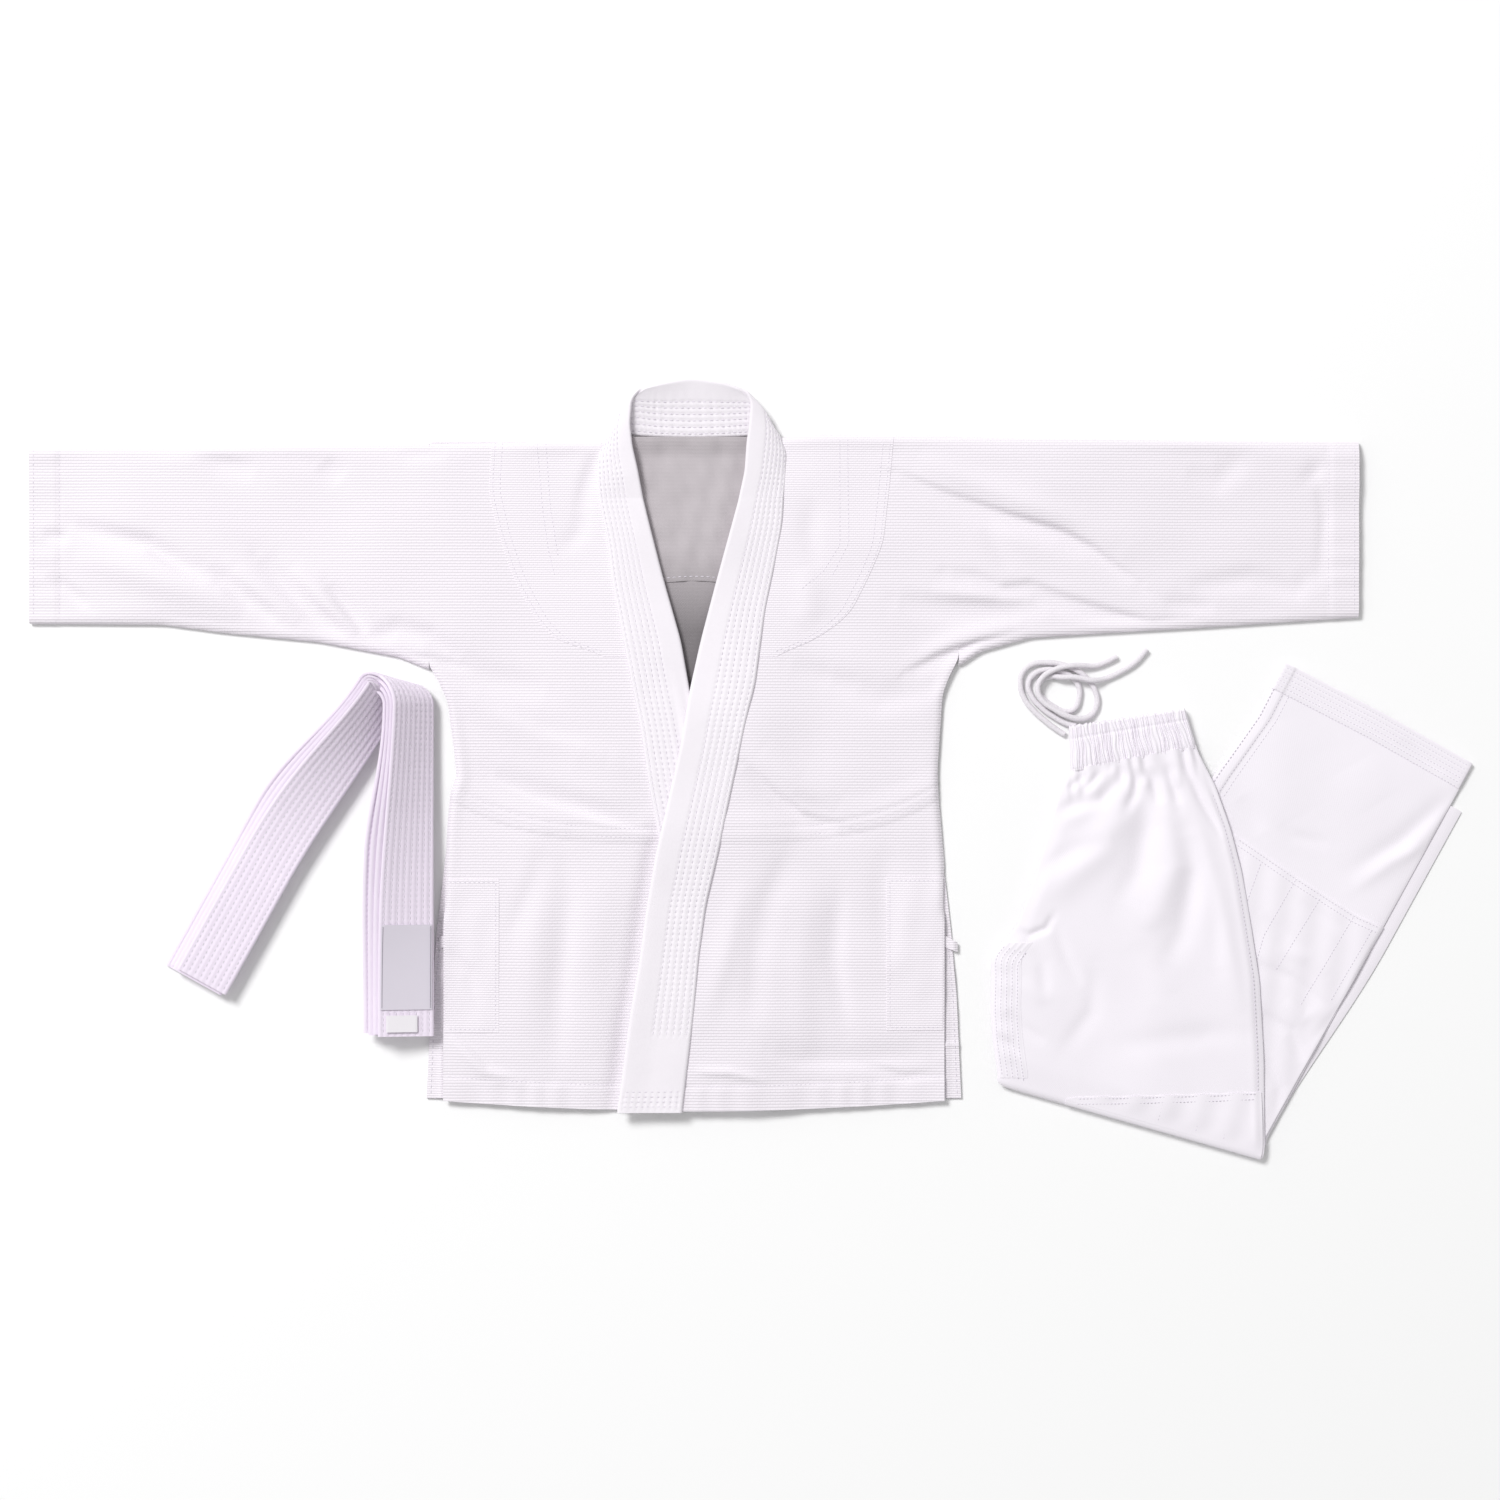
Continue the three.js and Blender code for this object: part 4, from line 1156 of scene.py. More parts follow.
class UNIFORM_OT_collar(PieceOperator, bpy.types.Operator):
    """The quilted collar band: the part behind the neck and the two lapels, with every row of stitches"""

    bl_idname = "uniform.collar"
    bl_label = "Collar band"

    def build(self):
        sewing = settings("uniform_sewing")
        shares = np.linspace(0.07, 0.60, sewing.lapel_rows)
        collar = collar_rule()

        def gathers(t, w, outer):
            middle = 0.35 * np.abs(np.sin(t * 150)) * hill(t, 0.5, 0.1)
            turns = 0.45 * np.abs(np.sin(t * 240 + 3 * w)) * (hill(t, 0.415, 0.035) + hill(t, 0.585, 0.035))
            return -(middle + turns) * smooth_step(0.95, 0.5, w)

        rows = quilting(290, shares, 48, 0.75, both=True)
        neck = band("neck_band", collar, -1, BAND_THICKNESS, (230, 128), (290, 48),
                    lambda t, w, outer: rows(t, w, outer) + gathers(t, w, outer), JACKET)
        paint(neck, band_cloth())
        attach(neck, "jacket")
        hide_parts("neck_collar")
        reach = BAND_THICKNESS / 2 - 0.35
        lines = band_rows(collar, -1, reach, shares, (0.0, 0.40), JACKET)
        lines += band_rows(collar, -1, reach, shares, (0.60, 1.0), JACKET)
        lines += band_rows(collar, -1, -reach, shares, (0.30, 0.70), JACKET)
        stitches = rows_of_stitches("neck_band_stitches", lines)
        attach(stitches, "jacket")

        for side in (-1, 1):
            layer = LAYER[side]
            section = lapel_section(side)
            run = 548
            end = 0.875 if side > 0 else 1.0
            quilted = quilting(run, shares, 52, 0.75, span=(-1, end))
            box = quilting(run, np.linspace(0.08, 0.92, 9), 52, 0.6, span=(0.967, 0.995))
            lapel = band(f"{layer}_lapel_band", section, -side, BAND_THICKNESS, (440, 128), (run, 52),
                         lambda t, w, outer, a=quilted, b=box: a(t, w, outer) + b(t, w, outer), JACKET)
            paint(lapel, band_cloth())
            FLAP[side]
            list(below_neck(side))
            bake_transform(lapel)
            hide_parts(f"{layer}_lapel")
            lines = band_rows(section, -side, reach, shares, (0.0, end), JACKET)
            if side > 0:
                for t in (0.966, 0.974, 0.982, 0.990):
                    w = np.linspace(0.07, 0.93, 60)
                    points = band_points(section, np.full_like(w, t), w, -side, np.full_like(w, reach + 0.2))
                    lines.append(JACKET(points[:, 0], points[:, 1], points[:, 2]))
            stitches = rows_of_stitches(f"{layer}_lapel_stitches", lines)
            FLAP[side]
            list(below_neck(side))
            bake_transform(stitches)


# ---- The belt ----
BELT_WIDTH = 50.0
BELT_STACK = 17.0
BEND_RADIUS = 20.0
V_ANGLE = math.radians(29)
LEFT_RUN = 312.0
RIGHT_RUN = 296.0
ARC = (math.pi - V_ANGLE) * BEND_RADIUS
UNDERLAY = 2.7
BELT_LAYERS = 4
LAYER_GAP = 0.8
LAYER_SLIP = 4.0


def belt_frame(distance):
    """At each distance along the strip's outer lower edge, 0 where the bend starts: its place, the direction across
    the strip and the direction from the outermost layer inwards."""
    distance = np.asarray(distance, float)
    turned = np.clip(distance / BEND_RADIUS, 0, math.pi - V_ANGLE)
    angle = math.pi - V_ANGLE - turned
    forward = np.stack([np.sin(angle), -np.cos(angle), np.zeros_like(angle)], -1)
    point = np.stack([np.cos(angle), np.sin(angle), np.zeros_like(angle)], -1) * BEND_RADIUS
    beyond = np.where(distance < 0, distance, np.clip(distance - ARC, 0, None))
    point = point + forward * beyond[..., None]
    share = np.where(distance < 0, -distance / LEFT_RUN, beyond / RIGHT_RUN)
    settle = np.where(distance < 0, smooth_step(-0.05, 0.62, share), smooth_step(-0.05, 0.95, share))
    rise = np.radians(50 + (np.where(distance < 0, 0, 10) - 50) * settle)
    turn = math.pi - V_ANGLE * (1 - turned / (math.pi - V_ANGLE))
    lean = np.stack([np.cos(turn) * np.cos(rise), np.sin(turn) * np.cos(rise), np.sin(rise)], -1)
    inward = np.cross(forward, lean)
    inward /= np.linalg.norm(inward, axis=-1, keepdims=True)
    point[..., 2] = np.clip(-BELT_STACK * inward[..., 2], 0, None)
    point[..., 2] += np.where(distance > 0, UNDERLAY * smooth_step(0.2, 0.6, share), 0)
    return point, lean, inward


def belt_section(depth, ends):
    """The middle surface of a belt layer that lies depth millimetres in from the outermost face. Each layer that
    lies further down slips out past the one on it, towards the strip's raised edge."""
    index = depth / BELT_STACK * BELT_LAYERS - 0.5

    def section(t, w):
        distance = ends[0] + (ends[1] - ends[0]) * np.asarray(t, float)
        point, lean, inward = belt_frame(distance)
        on_right = smooth_step(0.03, 0.45, (distance - ARC) / RIGHT_RUN)
        on_left = smooth_step(0.03, 0.45, -distance / LEFT_RUN)
        point = point + lean * (LAYER_SLIP * (index * on_right + (BELT_LAYERS - 1 - index) * on_left))[..., None]
        ripple = 0.35 * np.sin(distance / 21 + depth) + 0.25 * np.sin(distance / 9.3 + 2 * depth)
        place = point + lean * (np.asarray(w) * BELT_WIDTH)[..., None] + inward * (depth + 0.12 * ripple)[..., None]
        return [place[..., i] for i in range(3)]

    return section


class UNIFORM_OT_belt(PieceOperator, bpy.types.Operator):
    """The belt, one quilted strip folded to four layers and bent over, with its blank label and size tag"""

    bl_idname = "uniform.belt"
    bl_label = "Belt"

    def build(self):
        sewing = settings("uniform_sewing")
        shares = (np.arange(sewing.belt_rows) + 0.75) / (sewing.belt_rows + 0.5)
        pitch = BELT_STACK / BELT_LAYERS
        for index in range(BELT_LAYERS):
            depth = pitch * (index + 0.5)
            shown = index in (0, BELT_LAYERS - 1)
            tuck = (0, 3.0, 1.2, 4.0)[index]
            ends = (-LEFT_RUN + tuck, ARC + RIGHT_RUN - tuck * 0.6)
            section = belt_section(depth, ends)
            run = ends[1] - ends[0]
            quilt = quilting(run, shares, BELT_WIDTH, 1.0 if shown else 0.4, both=shown)
            cells = (500, 112) if shown else (300, 48)
            strip = band(f"belt_layer_{index + 1}", section, -1, pitch - LAYER_GAP, cells, (run, BELT_WIDTH), quilt,
                         BELT)
            paint(strip, belt_cloth())
            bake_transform(strip)
            if index == 0:
                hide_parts("belt_right_run", "belt_left_run")
            if shown:
                reach = (pitch - LAYER_GAP) / 2 - 0.45
                side = 1 if index == 0 else -1
                lines = band_rows(section, -1, side * reach, shares, (0.004, 0.996), BELT)
                stitches = rows_of_stitches(f"belt_stitches_{index + 1}", lines, width=0.0011)
                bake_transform(stitches)
        self.labels()

    def labels(self):
        def patch(name, start, run, edges, rise, cells, quilt):
            span = (ARC + start, ARC + start + run)

            def section(t, w):
                place = belt_frame(span[0] + (span[1] - span[0]) * np.asarray(t, float))
                across = edges[0] + (edges[1] - edges[0]) * np.asarray(w)
                point = place[0] + place[1] * across[..., None] - place[2] * rise
                return [point[..., i] for i in range(3)]

            return band(name, section, -1, 0.7, cells, (run, edges[1] - edges[0]), quilt, BELT), section

        label, section = patch("belt_label_satin", 196, 76, (2.0, 48.0), 0.45, (60, 48),
                               lambda t, w, outer: -0.12 * hill((w - 0.03) * 45, 0, 1.5) * (t > 0.01))
        paint(label, shared("grey_satin_ribbon", plain_weave, tuple(colours().label), thread=0.0016, strength=0.25,
                            roughness=0.42))
        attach(label, "belt")
        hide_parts("belt_label")
        t = np.linspace(0.02, 0.98, 64)
        zigzag = 0.022 + 0.016 * (np.arange(64) % 2)
        lines = []
        for w in (zigzag, 1 - zigzag):
            points = band_points(section, t, w, -1, np.full_like(t, 0.5))
            lines.append(BELT(points[:, 0], points[:, 1], points[:, 2]))
        rows = rows_of_stitches("belt_label_stitches", lines, pitch=0.0014, size=0.0013, width=0.0006)
        rows.data.materials.clear()
        rows.data.materials.append(shared("grey_thread", plain_weave, srgb("#8F8896"), thread=0.0008, roughness=0.6))
        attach(rows, "belt")

        tag, section = patch("belt_blank_tag", 277, 15, (15, 43), 1.35, (20, 40), lambda t, w, outer: 0.0)
        paint(tag, shared("tag_cotton_tape", plain_weave, srgb("#F1EDF2"), thread=0.0009, strength=0.25))
        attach(tag, "belt")
        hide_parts("belt_size_tag")


# ---- Trousers: u runs along the knee fold and v square to it ----
THIGH_LEFT = edge_rule((-20, 0), (0, 0), (5, -1), (34, -14), (62, -24), (90, -31), (106, -36), (122, -29), (138, -21),
                       (170, -18.5), (204, -17), (250, -16.6), (270, -16), (283, -12), (300, -10), soft=5)
THIGH_RIGHT = edge_rule((-20, 248), (0, 248), (4, 248), (87, 223.5), (150, 202), (198, 180), (240, 160), (274, 140),
                        (308, 116), (324, 101), (335, 91), (350, 84), soft=5)
SHIN_LEFT = edge_rule((-20, 18), (0, 18), (319, 114), (378, 135), (432, 146), soft=3)
SHIN_RIGHT = edge_rule((-20, 248), (0, 248), (16, 248.1), (389, 334.6), (440, 346), soft=3)
THIGH_HEAD = (287.0, 338.0)
LEG_PLIES = 1.9
HALF_PLIES = LEG_PLIES / 2
KNEE_LAP = 9.0
PATCH_THICKNESS = 0.7
THIGH_CREASES = [
    ([(38, 306), (30, 288), (20, 268), (-10, 251), (-22, 246)], -4.2, 7, 8),
    ([(46, 306), (48, 280), (44, 262)], -3.2, 5, 5), ([(55, 309), (64, 292), (73, 276)], -3.4, 6, 5),
    ([(68, 316), (80, 298), (90, 280)], -3.2, 5, 5), ([(14, 292), (4, 270)], -2.4, 4, 4),
    ([(82, 322), (106, 293), (138, 262)], -2.6, 4, 4), ([(89, 328), (117, 299), (141, 271)], -2.2, 4, 4),
    ([(2, 286), (-12, 267)], -2.0, 4, 4), ([(26, 300), (14, 266), (-6, 238)], 2.6, 9, 9),
    ([(40, 300), (42, 262), (31, 225), (4, 184), (-10, 166)], 4.4, 15, 17),
    ([(64, 306), (84, 262), (98, 228), (96, 186), (86, 160)], 4.6, 13, 15),
    ([(78, 316), (110, 268), (141, 216), (172, 158), (196, 110)], 3.0, 9, 12),
    ([(56, 292), (67, 256), (69, 214), (60, 180)], -2.8, 11, 11),
    ([(104, 262), (119, 232), (123, 172), (116, 140)], -3.0, 11, 10),
    ([(128, 240), (150, 190), (164, 150)], -1.8, 8, 8),
    ([(-24, 136), (-8, 133), (5, 143), (8, 158)], -2.6, 3.4, 3.4),
    ([(9, 151), (30, 122), (52, 100)], -1.7, 5, 6), ([(-4, 124), (10, 112), (23, 80)], -1.4, 6, 6),
    ([(48, 40), (64, 82), (56, 124)], -1.5, 7, 9), ([(86, 55), (148, 82), (208, 106)], -1.6, 11, 11),
    ([(-12, 64), (10, 52), (34, 44)], -1.6, 5, 6), ([(94, 170), (122, 110), (168, 84)], 1.7, 15, 15),
    ([(-19, 190), (12, 218), (40, 236)], -2.2, 9, 10), ([(-6, 92), (14, 84), (30, 86)], 1.2, 8, 8),
    ([(-14, 40), (2, 34), (14, 26)], -1.2, 4, 4), ([(20, 306), (22, 292)], -1.8, 4, 4),
    ([(76, 312), (86, 296)], 1.8, 4, 4), ([(54, 300), (58, 288)], 1.6, 4, 4),
]
SHIN_CREASES = [
    ([(326, 362), (290, 304), (256, 268)], -2.0, 7, 9), ([(334, 352), (300, 296), (276, 262)], 1.3, 8, 8),
    ([(314, 310), (287, 286), (260, 250)], 1.6, 6, 8), ([(180, 290), (196, 283), (232, 285)], -0.9, 6, 6),
    ([(188, 165), (229, 160), (274, 140)], -1.5, 5, 7), ([(206, 124), (242, 114), (260, 88)], -1.5, 5, 7),
    ([(140, 304), (170, 278)], -1.2, 9, 9), ([(216, 230), (262, 212)], -1.0, 6, 6),
    ([(188, 208), (220, 192)], -1.0, 5, 6), ([(264, 394), (312, 371)], -0.9, 6, 6),
    ([(287, 156), (262, 110)], -1.3, 5, 6), ([(226, 86), (246, 62), (250, 30)], -1.3, 6, 6),
    ([(228, 140), (250, 128), (262, 140)], 1.1, 6, 6), ([(206, 180), (240, 182), (262, 170)], 1.0, 7, 7),
    ([(150, 380), (170, 330), (200, 300)], 1.1, 20, 24), ([(230, 360), (262, 330)], 1.0, 22, 22),
]
THIGH_SEAM = edge_rule((60, -2), (70, 4.3), (106, 15), (145, 27.3), (190, 41), (226, 53), (240, 57), soft=6)
KNEE_SEAM = edge_rule((110, 279), (142, 271.4), (214, 247), (270, 230), (295, 226.6), (320, 222), soft=6)


def gathers(u, v):
    """Short folds that the elastic draws into the cloth, dying out away from the waistband."""
    below = (287 + (u + 12) * 0.495 - v) / 1.12
    along = u * 0.895 + v * 0.44
    fan = np.sin(along / 2.3 + 1.7 * np.sin(along / 9.0)) + 0.6 * np.sin(along / 5.3 + 1)
    return 1.25 * fan * smooth_step(34, 4, below)


def thigh_relief(u, v):
    height = 2.2 + 0.9 * waves(u, v, 110, 61) + gathers(u, v)
    for route, rise, left, right in THIGH_CREASES:
        height = height + crease(u, v, route, rise, left, right)
    height = height + 0.7 * hill(THIGH_RIGHT(v) - u, 9, 3.0) - 0.5 * hill(THIGH_RIGHT(v) - u, 4, 1.6)
    welt = u - THIGH_LEFT(v)
    height = height + 0.35 * np.sin(v / 3.1) * smooth_step(24, 14, welt) * smooth_step(136, 122, v)
    return height * smooth_step(-6, 26, v) * smooth_step(0, 20, np.minimum(u - THIGH_LEFT(v), THIGH_RIGHT(v) - u) + 6)


def shin_relief(u, v):
    height = 0.5 + 0.5 * waves(u, v, 90, 71)
    for route, rise, left, right in SHIN_CREASES:
        height = height + crease(u, v, route, rise, left, right)
    off_seam = v - KNEE_SEAM(u)
    height = height + 0.8 * smooth_step(1.5, -1.5, off_seam) - 0.5 * hill(off_seam, -3.5, 1.4)
    quilt = 0.45 * np.sin(u / 4.4 + v / 31) * smooth_step(4, -10, off_seam) * smooth_step(40, 80, v)
    hem_at = shin_head(u, 0) - v
    hem = 0.8 * smooth_step(26.5, 24.5, hem_at)
    for row in range(6):
        hem = hem - 0.5 * hill(hem_at, 3.5 + 4.2 * row, 1.0)
    strip = 0.9 * smooth_step(13.5, 11.5, u - SHIN_LEFT(v)) * smooth_step(240, 262, v)
    return (height + quilt + hem + strip) * smooth_step(-2, 20, v)


def shin_head(u, shorter):
    """The hem's edge across the lower leg."""
    return np.interp(u, (120, 146, 242, 334.6, 350), (437, 431.6, 411.9, 389.4, 385.6)) - shorter


class Leg:
    """One trouser leg, pressed flat and folded at the knee. Its thigh runs up from the fold and its first few
    millimetres below; its shin starts there. level is the height of the thigh's middle, lower the shin's."""

    def __init__(self, level, lower, shorter=0.0, widen=0.0):
        self.level, self.lower, self.shorter, self.widen = level, lower, shorter, widen
        self.radius = (level - lower) / 2
        self.middle = (level + lower) / 2

    def along(self, s, lift=0.0):
        """(v, z) at s millimetres along the thigh from the fold; below 0 it goes round and back under."""
        reach = self.radius + lift
        turned = np.clip(-s / self.radius, 0, math.pi)
        past = np.clip(-s - math.pi * self.radius, 0, None)
        v = np.where(s >= 0, s, past - reach * np.sin(turned))
        z = np.where(s >= 0, self.level + lift, self.middle + reach * np.cos(turned))
        return v, z

    def thigh(self, t, w):
        tail = math.pi * self.radius + KNEE_LAP
        head = THIGH_HEAD[0] + (THIGH_HEAD[1] - THIGH_HEAD[0]) * w
        s = -tail + (head + tail) * np.asarray(t, float)
        v, z = self.along(s)
        left = THIGH_LEFT(s * THIGH_HEAD[0] / head)
        right = THIGH_RIGHT(s * THIGH_HEAD[1] / head)
        left = np.where(s < 0, 18 * smooth_step(0, -math.pi * self.radius, s), left)
        return [left + (right - left) * w, v, z]

    def shin(self, t, w):
        u_high = 146 + (334.6 + self.widen - 146) * w
        head = shin_head(u_high, self.shorter)
        v = KNEE_LAP + (head - KNEE_LAP) * np.asarray(t, float)
        share = (v - KNEE_LAP) / (411 - KNEE_LAP)
        left, right = SHIN_LEFT(v), SHIN_RIGHT(v) + self.widen * smooth_step(0.02, 0.5, share)
        return [left + (right - left) * w, v, self.lower]


OUTER_LEG = Leg(8.55, 0.95, shorter=41, widen=12.5)
INNER_LEG = Leg(6.55, 3.15)
KNEE = JOINTS["knee_unfold"]


def knee_turn(piece):
    """Bakes the placement of a piece of cloth round the knee fold into its mesh."""
    x, y, z = KNEE["pos_m"]
    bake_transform(piece)


def flat_cloth(name, cells, place, top, thickness, material):
    """A thin cloth over a surface: place(u, v) gives the local place, top its height."""
    piece = grid(name, *cells, lambda u, v: TROUSERS(*place(u, v), top(*place(u, v))),
                 uv=lambda u, v: flat_uv(*place(u, v)))
    thicken(piece, thickness)
    return paint(piece, material)


def thigh_top(u, v):
    """Height of the upper leg's top, round the knee fold as well."""
    reach = OUTER_LEG.radius + HALF_PLIES
    round_fold = OUTER_LEG.middle + np.sqrt(np.clip(reach ** 2 - np.minimum(v, 0) ** 2, 0, None))
    inside = np.minimum(u - THIGH_LEFT(v), THIGH_RIGHT(v) - u)
    return np.where(v < 0, round_fold, OUTER_LEG.level + (HALF_PLIES + thigh_relief(u, v)) * rounded(inside, 7.0))


def shin_top(u, v):
    inside = np.minimum(u - SHIN_LEFT(v), SHIN_RIGHT(v) - u)
    return INNER_LEG.lower + (HALF_PLIES + shin_relief(u, v)) * rounded(inside, 4.0)


def local_rows(top, routes, lift=0.0):
    rows = []
    for route in routes:
        u, v = (np.asarray(c, float) for c in route)
        rows.append(TROUSERS(u, v, top(u, v) + lift))
    return rows


def spread_route(points, count=120):
    points = np.array(points, float)
    t = np.linspace(0, len(points) - 1, count)
    knots = np.arange(len(points))
    return np.interp(t, knots, points[:, 0]), np.interp(t, knots, points[:, 1])


class UNIFORM_OT_legs(PieceOperator, bpy.types.Operator):
    """The two trouser legs, pressed flat on each other and folded at the knee, the outer one round the inner one"""

    bl_idname = "uniform.legs"
    bl_label = "Trouser legs"

    def build(self):
        self.leg("outer", OUTER_LEG, thigh_relief, lambda u, v: 0.3 * waves(u, v, 60, 75))
        self.leg("inner", INNER_LEG, lambda u, v: 0.0, shin_relief)
        cloth = trouser_cloth()

        def under_patch(u, v):
            foot = -(OUTER_LEG.radius + HALF_PLIES) * 0.94
            head = THIGH_SEAM(THIGH_RIGHT(0.0) - 2)
            left, right = 64.0, THIGH_RIGHT(np.maximum(foot + (head - foot) * v, 0.0)) - 2
            x = left + (right - left) * u
            return x, foot + (np.maximum(THIGH_SEAM(x), foot + 0.5) - foot) * v

        def patch_top(u, v):
            reach = OUTER_LEG.radius + 1.75
            fold = OUTER_LEG.middle + np.sqrt(np.clip(reach ** 2 - np.minimum(v, 0) ** 2, 0, None))
            quilt = 0.5 * np.sin(u / 4.6) * smooth_step(0, 14, v)
            return np.where(v < 0, fold, thigh_top(u, v) + 0.8 + quilt)

        patch = flat_cloth("thigh_patch", (150, 60), under_patch, patch_top, PATCH_THICKNESS, cloth)
        knee_turn(patch)
        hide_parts("outer_knee_patch")

        def knee_patch(u, v):
            head = KNEE_SEAM(240.0)
            y = 10.0 + (head - 10.0) * v
            left, right = np.maximum(SHIN_LEFT(y) + 40, THIGH_RIGHT(y) - 40), SHIN_RIGHT(y) - 2.5
            x = left + (right - left) * u
            return x, y + (KNEE_SEAM(x) - head) * v

        lower = flat_cloth("knee_patch", (90, 130), knee_patch, lambda u, v: shin_top(u, v) + 0.75,
                           PATCH_THICKNESS, cloth)
        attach(lower, "trouser_shins")
        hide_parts("inner_knee_patch")

        def hem_band(u, v):
            x0, x1 = 147.0, 333.5
            x = x0 + (x1 - x0) * u
            return x - 5.6 * (1 - v), shin_head(x, 0) - 0.8 - 24.5 * (1 - v)

        hem = flat_cloth("leg_hem", (150, 26), hem_band, lambda u, v: shin_top(u, v) + 0.5, PATCH_THICKNESS, cloth)
        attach(hem, "trouser_shins")
        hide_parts("inner_leg_hem")

        def gusset(u, v):
            y = 3 + 118 * v
            left = THIGH_LEFT(y) + 2.0
            return left + 24 * u, y + 6.5 * u

        crotch = flat_cloth("crotch_lining", (26, 90), gusset,
                            lambda u, v: thigh_top(u, v) + 0.6 - 0.35 * np.abs(np.sin((u - THIGH_LEFT(v)) / 1.6)),
                            PATCH_THICKNESS, cloth)
        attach(crotch, "trouser_top")
        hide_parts("crotch_gusset")
        self.stitches()

    def leg(self, name, leg, upper, lower):
        def thigh_quilt(t, w, outer):
            u, v, z = leg.thigh(t, w)
            return np.where(outer & (z > leg.level - 0.05), upper(u, v), 0)

        def shin_quilt(t, w, outer):
            u, v, z = leg.shin(t, w)
            return np.where(outer, lower(u, v), 0)

        cells = (150, 200) if name == "outer" else (60, 80)
        thigh = band(f"{name}_leg_thigh", leg.thigh, -1, LEG_PLIES, cells, (320, 230), thigh_quilt, TROUSERS)
        paint(thigh, trouser_cloth())
        knee_turn(thigh)
        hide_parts(f"{name}_thigh_front", f"{name}_thigh_back")
        cells = (200, 200) if name == "inner" else (90, 90)
        shin = band(f"{name}_leg_shin", leg.shin, -1, LEG_PLIES, cells, (400, 210), shin_quilt, TROUSERS)
        paint(shin, trouser_cloth())
        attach(shin, "trouser_shins")
        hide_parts(f"{name}_shin_front", f"{name}_shin_back")

    def stitches(self):
        us = np.linspace(74, 226, 150)
        seam = [(us, THIGH_SEAM(us) - off) for off in (1.5, 6.5)]
        quilt = [(np.full(20, u), np.linspace(4, float(THIGH_SEAM(u)) - 7, 20)) for u in (148, 183, 209)]
        rows = rows_of_stitches("thigh_patch_stitches", local_rows(thigh_top, seam + quilt, 0.85),
                                **PATCH_SEAM)
        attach(rows, "trouser_top")
        vs = np.linspace(6, 118, 140)
        gusset = [(THIGH_LEFT(vs) + off, vs) for off in (4.0, 9.0, 14.0, 19.0, 24.0)]
        rows = rows_of_stitches("crotch_stitches", local_rows(thigh_top, gusset, 0.6), **PATCH_SEAM)
        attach(rows, "trouser_top")
        vs = np.linspace(30, 300, 220)
        side = [(THIGH_RIGHT(vs) - 6.0, vs)]
        rows = rows_of_stitches("outer_seam_stitches", local_rows(thigh_top, side, 0.02), **LEG_SEAM)
        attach(rows, "trouser_top")

        us = np.linspace(150, 292, 150)
        knee = [(us, KNEE_SEAM(us) - off) for off in (2.0, 7.0)]
        knee += [spread_route(r) for r in (
            [(175, 252), (172, 212)], [(209, 246), (195, 190), (195, 167)], [(235, 236), (214, 163)],
            [(268, 228), (244, 139)], [(287, 221), (269, 150)])]
        rows = rows_of_stitches("knee_patch_stitches", local_rows(shin_top, knee, 0.8), **PATCH_SEAM)
        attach(rows, "trouser_shins")
        hem = []
        for row in range(6):
            x = np.linspace(150, 331, 160)
            hem.append((x - 0.25 * (3.5 + 4.2 * row), shin_head(x, 0) - 3.5 - 4.2 * row))
        rows = rows_of_stitches("leg_hem_stitches", local_rows(shin_top, hem, 0.55), **PATCH_SEAM)
        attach(rows, "trouser_shins")
        vs = np.linspace(300, 424, 90)
        strip = [(SHIN_LEFT(vs) + off, vs) for off in (3.0, 12.5, 18.5)]
        rows = rows_of_stitches("leg_seam_stitches", local_rows(shin_top, strip, 0.02), **LEG_SEAM)
        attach(rows, "trouser_shins")


WAIST = np.array([(-24.7, 323.6), (71.4, 367.5), (91.8, 334.9), (-11.4, 283.4)])


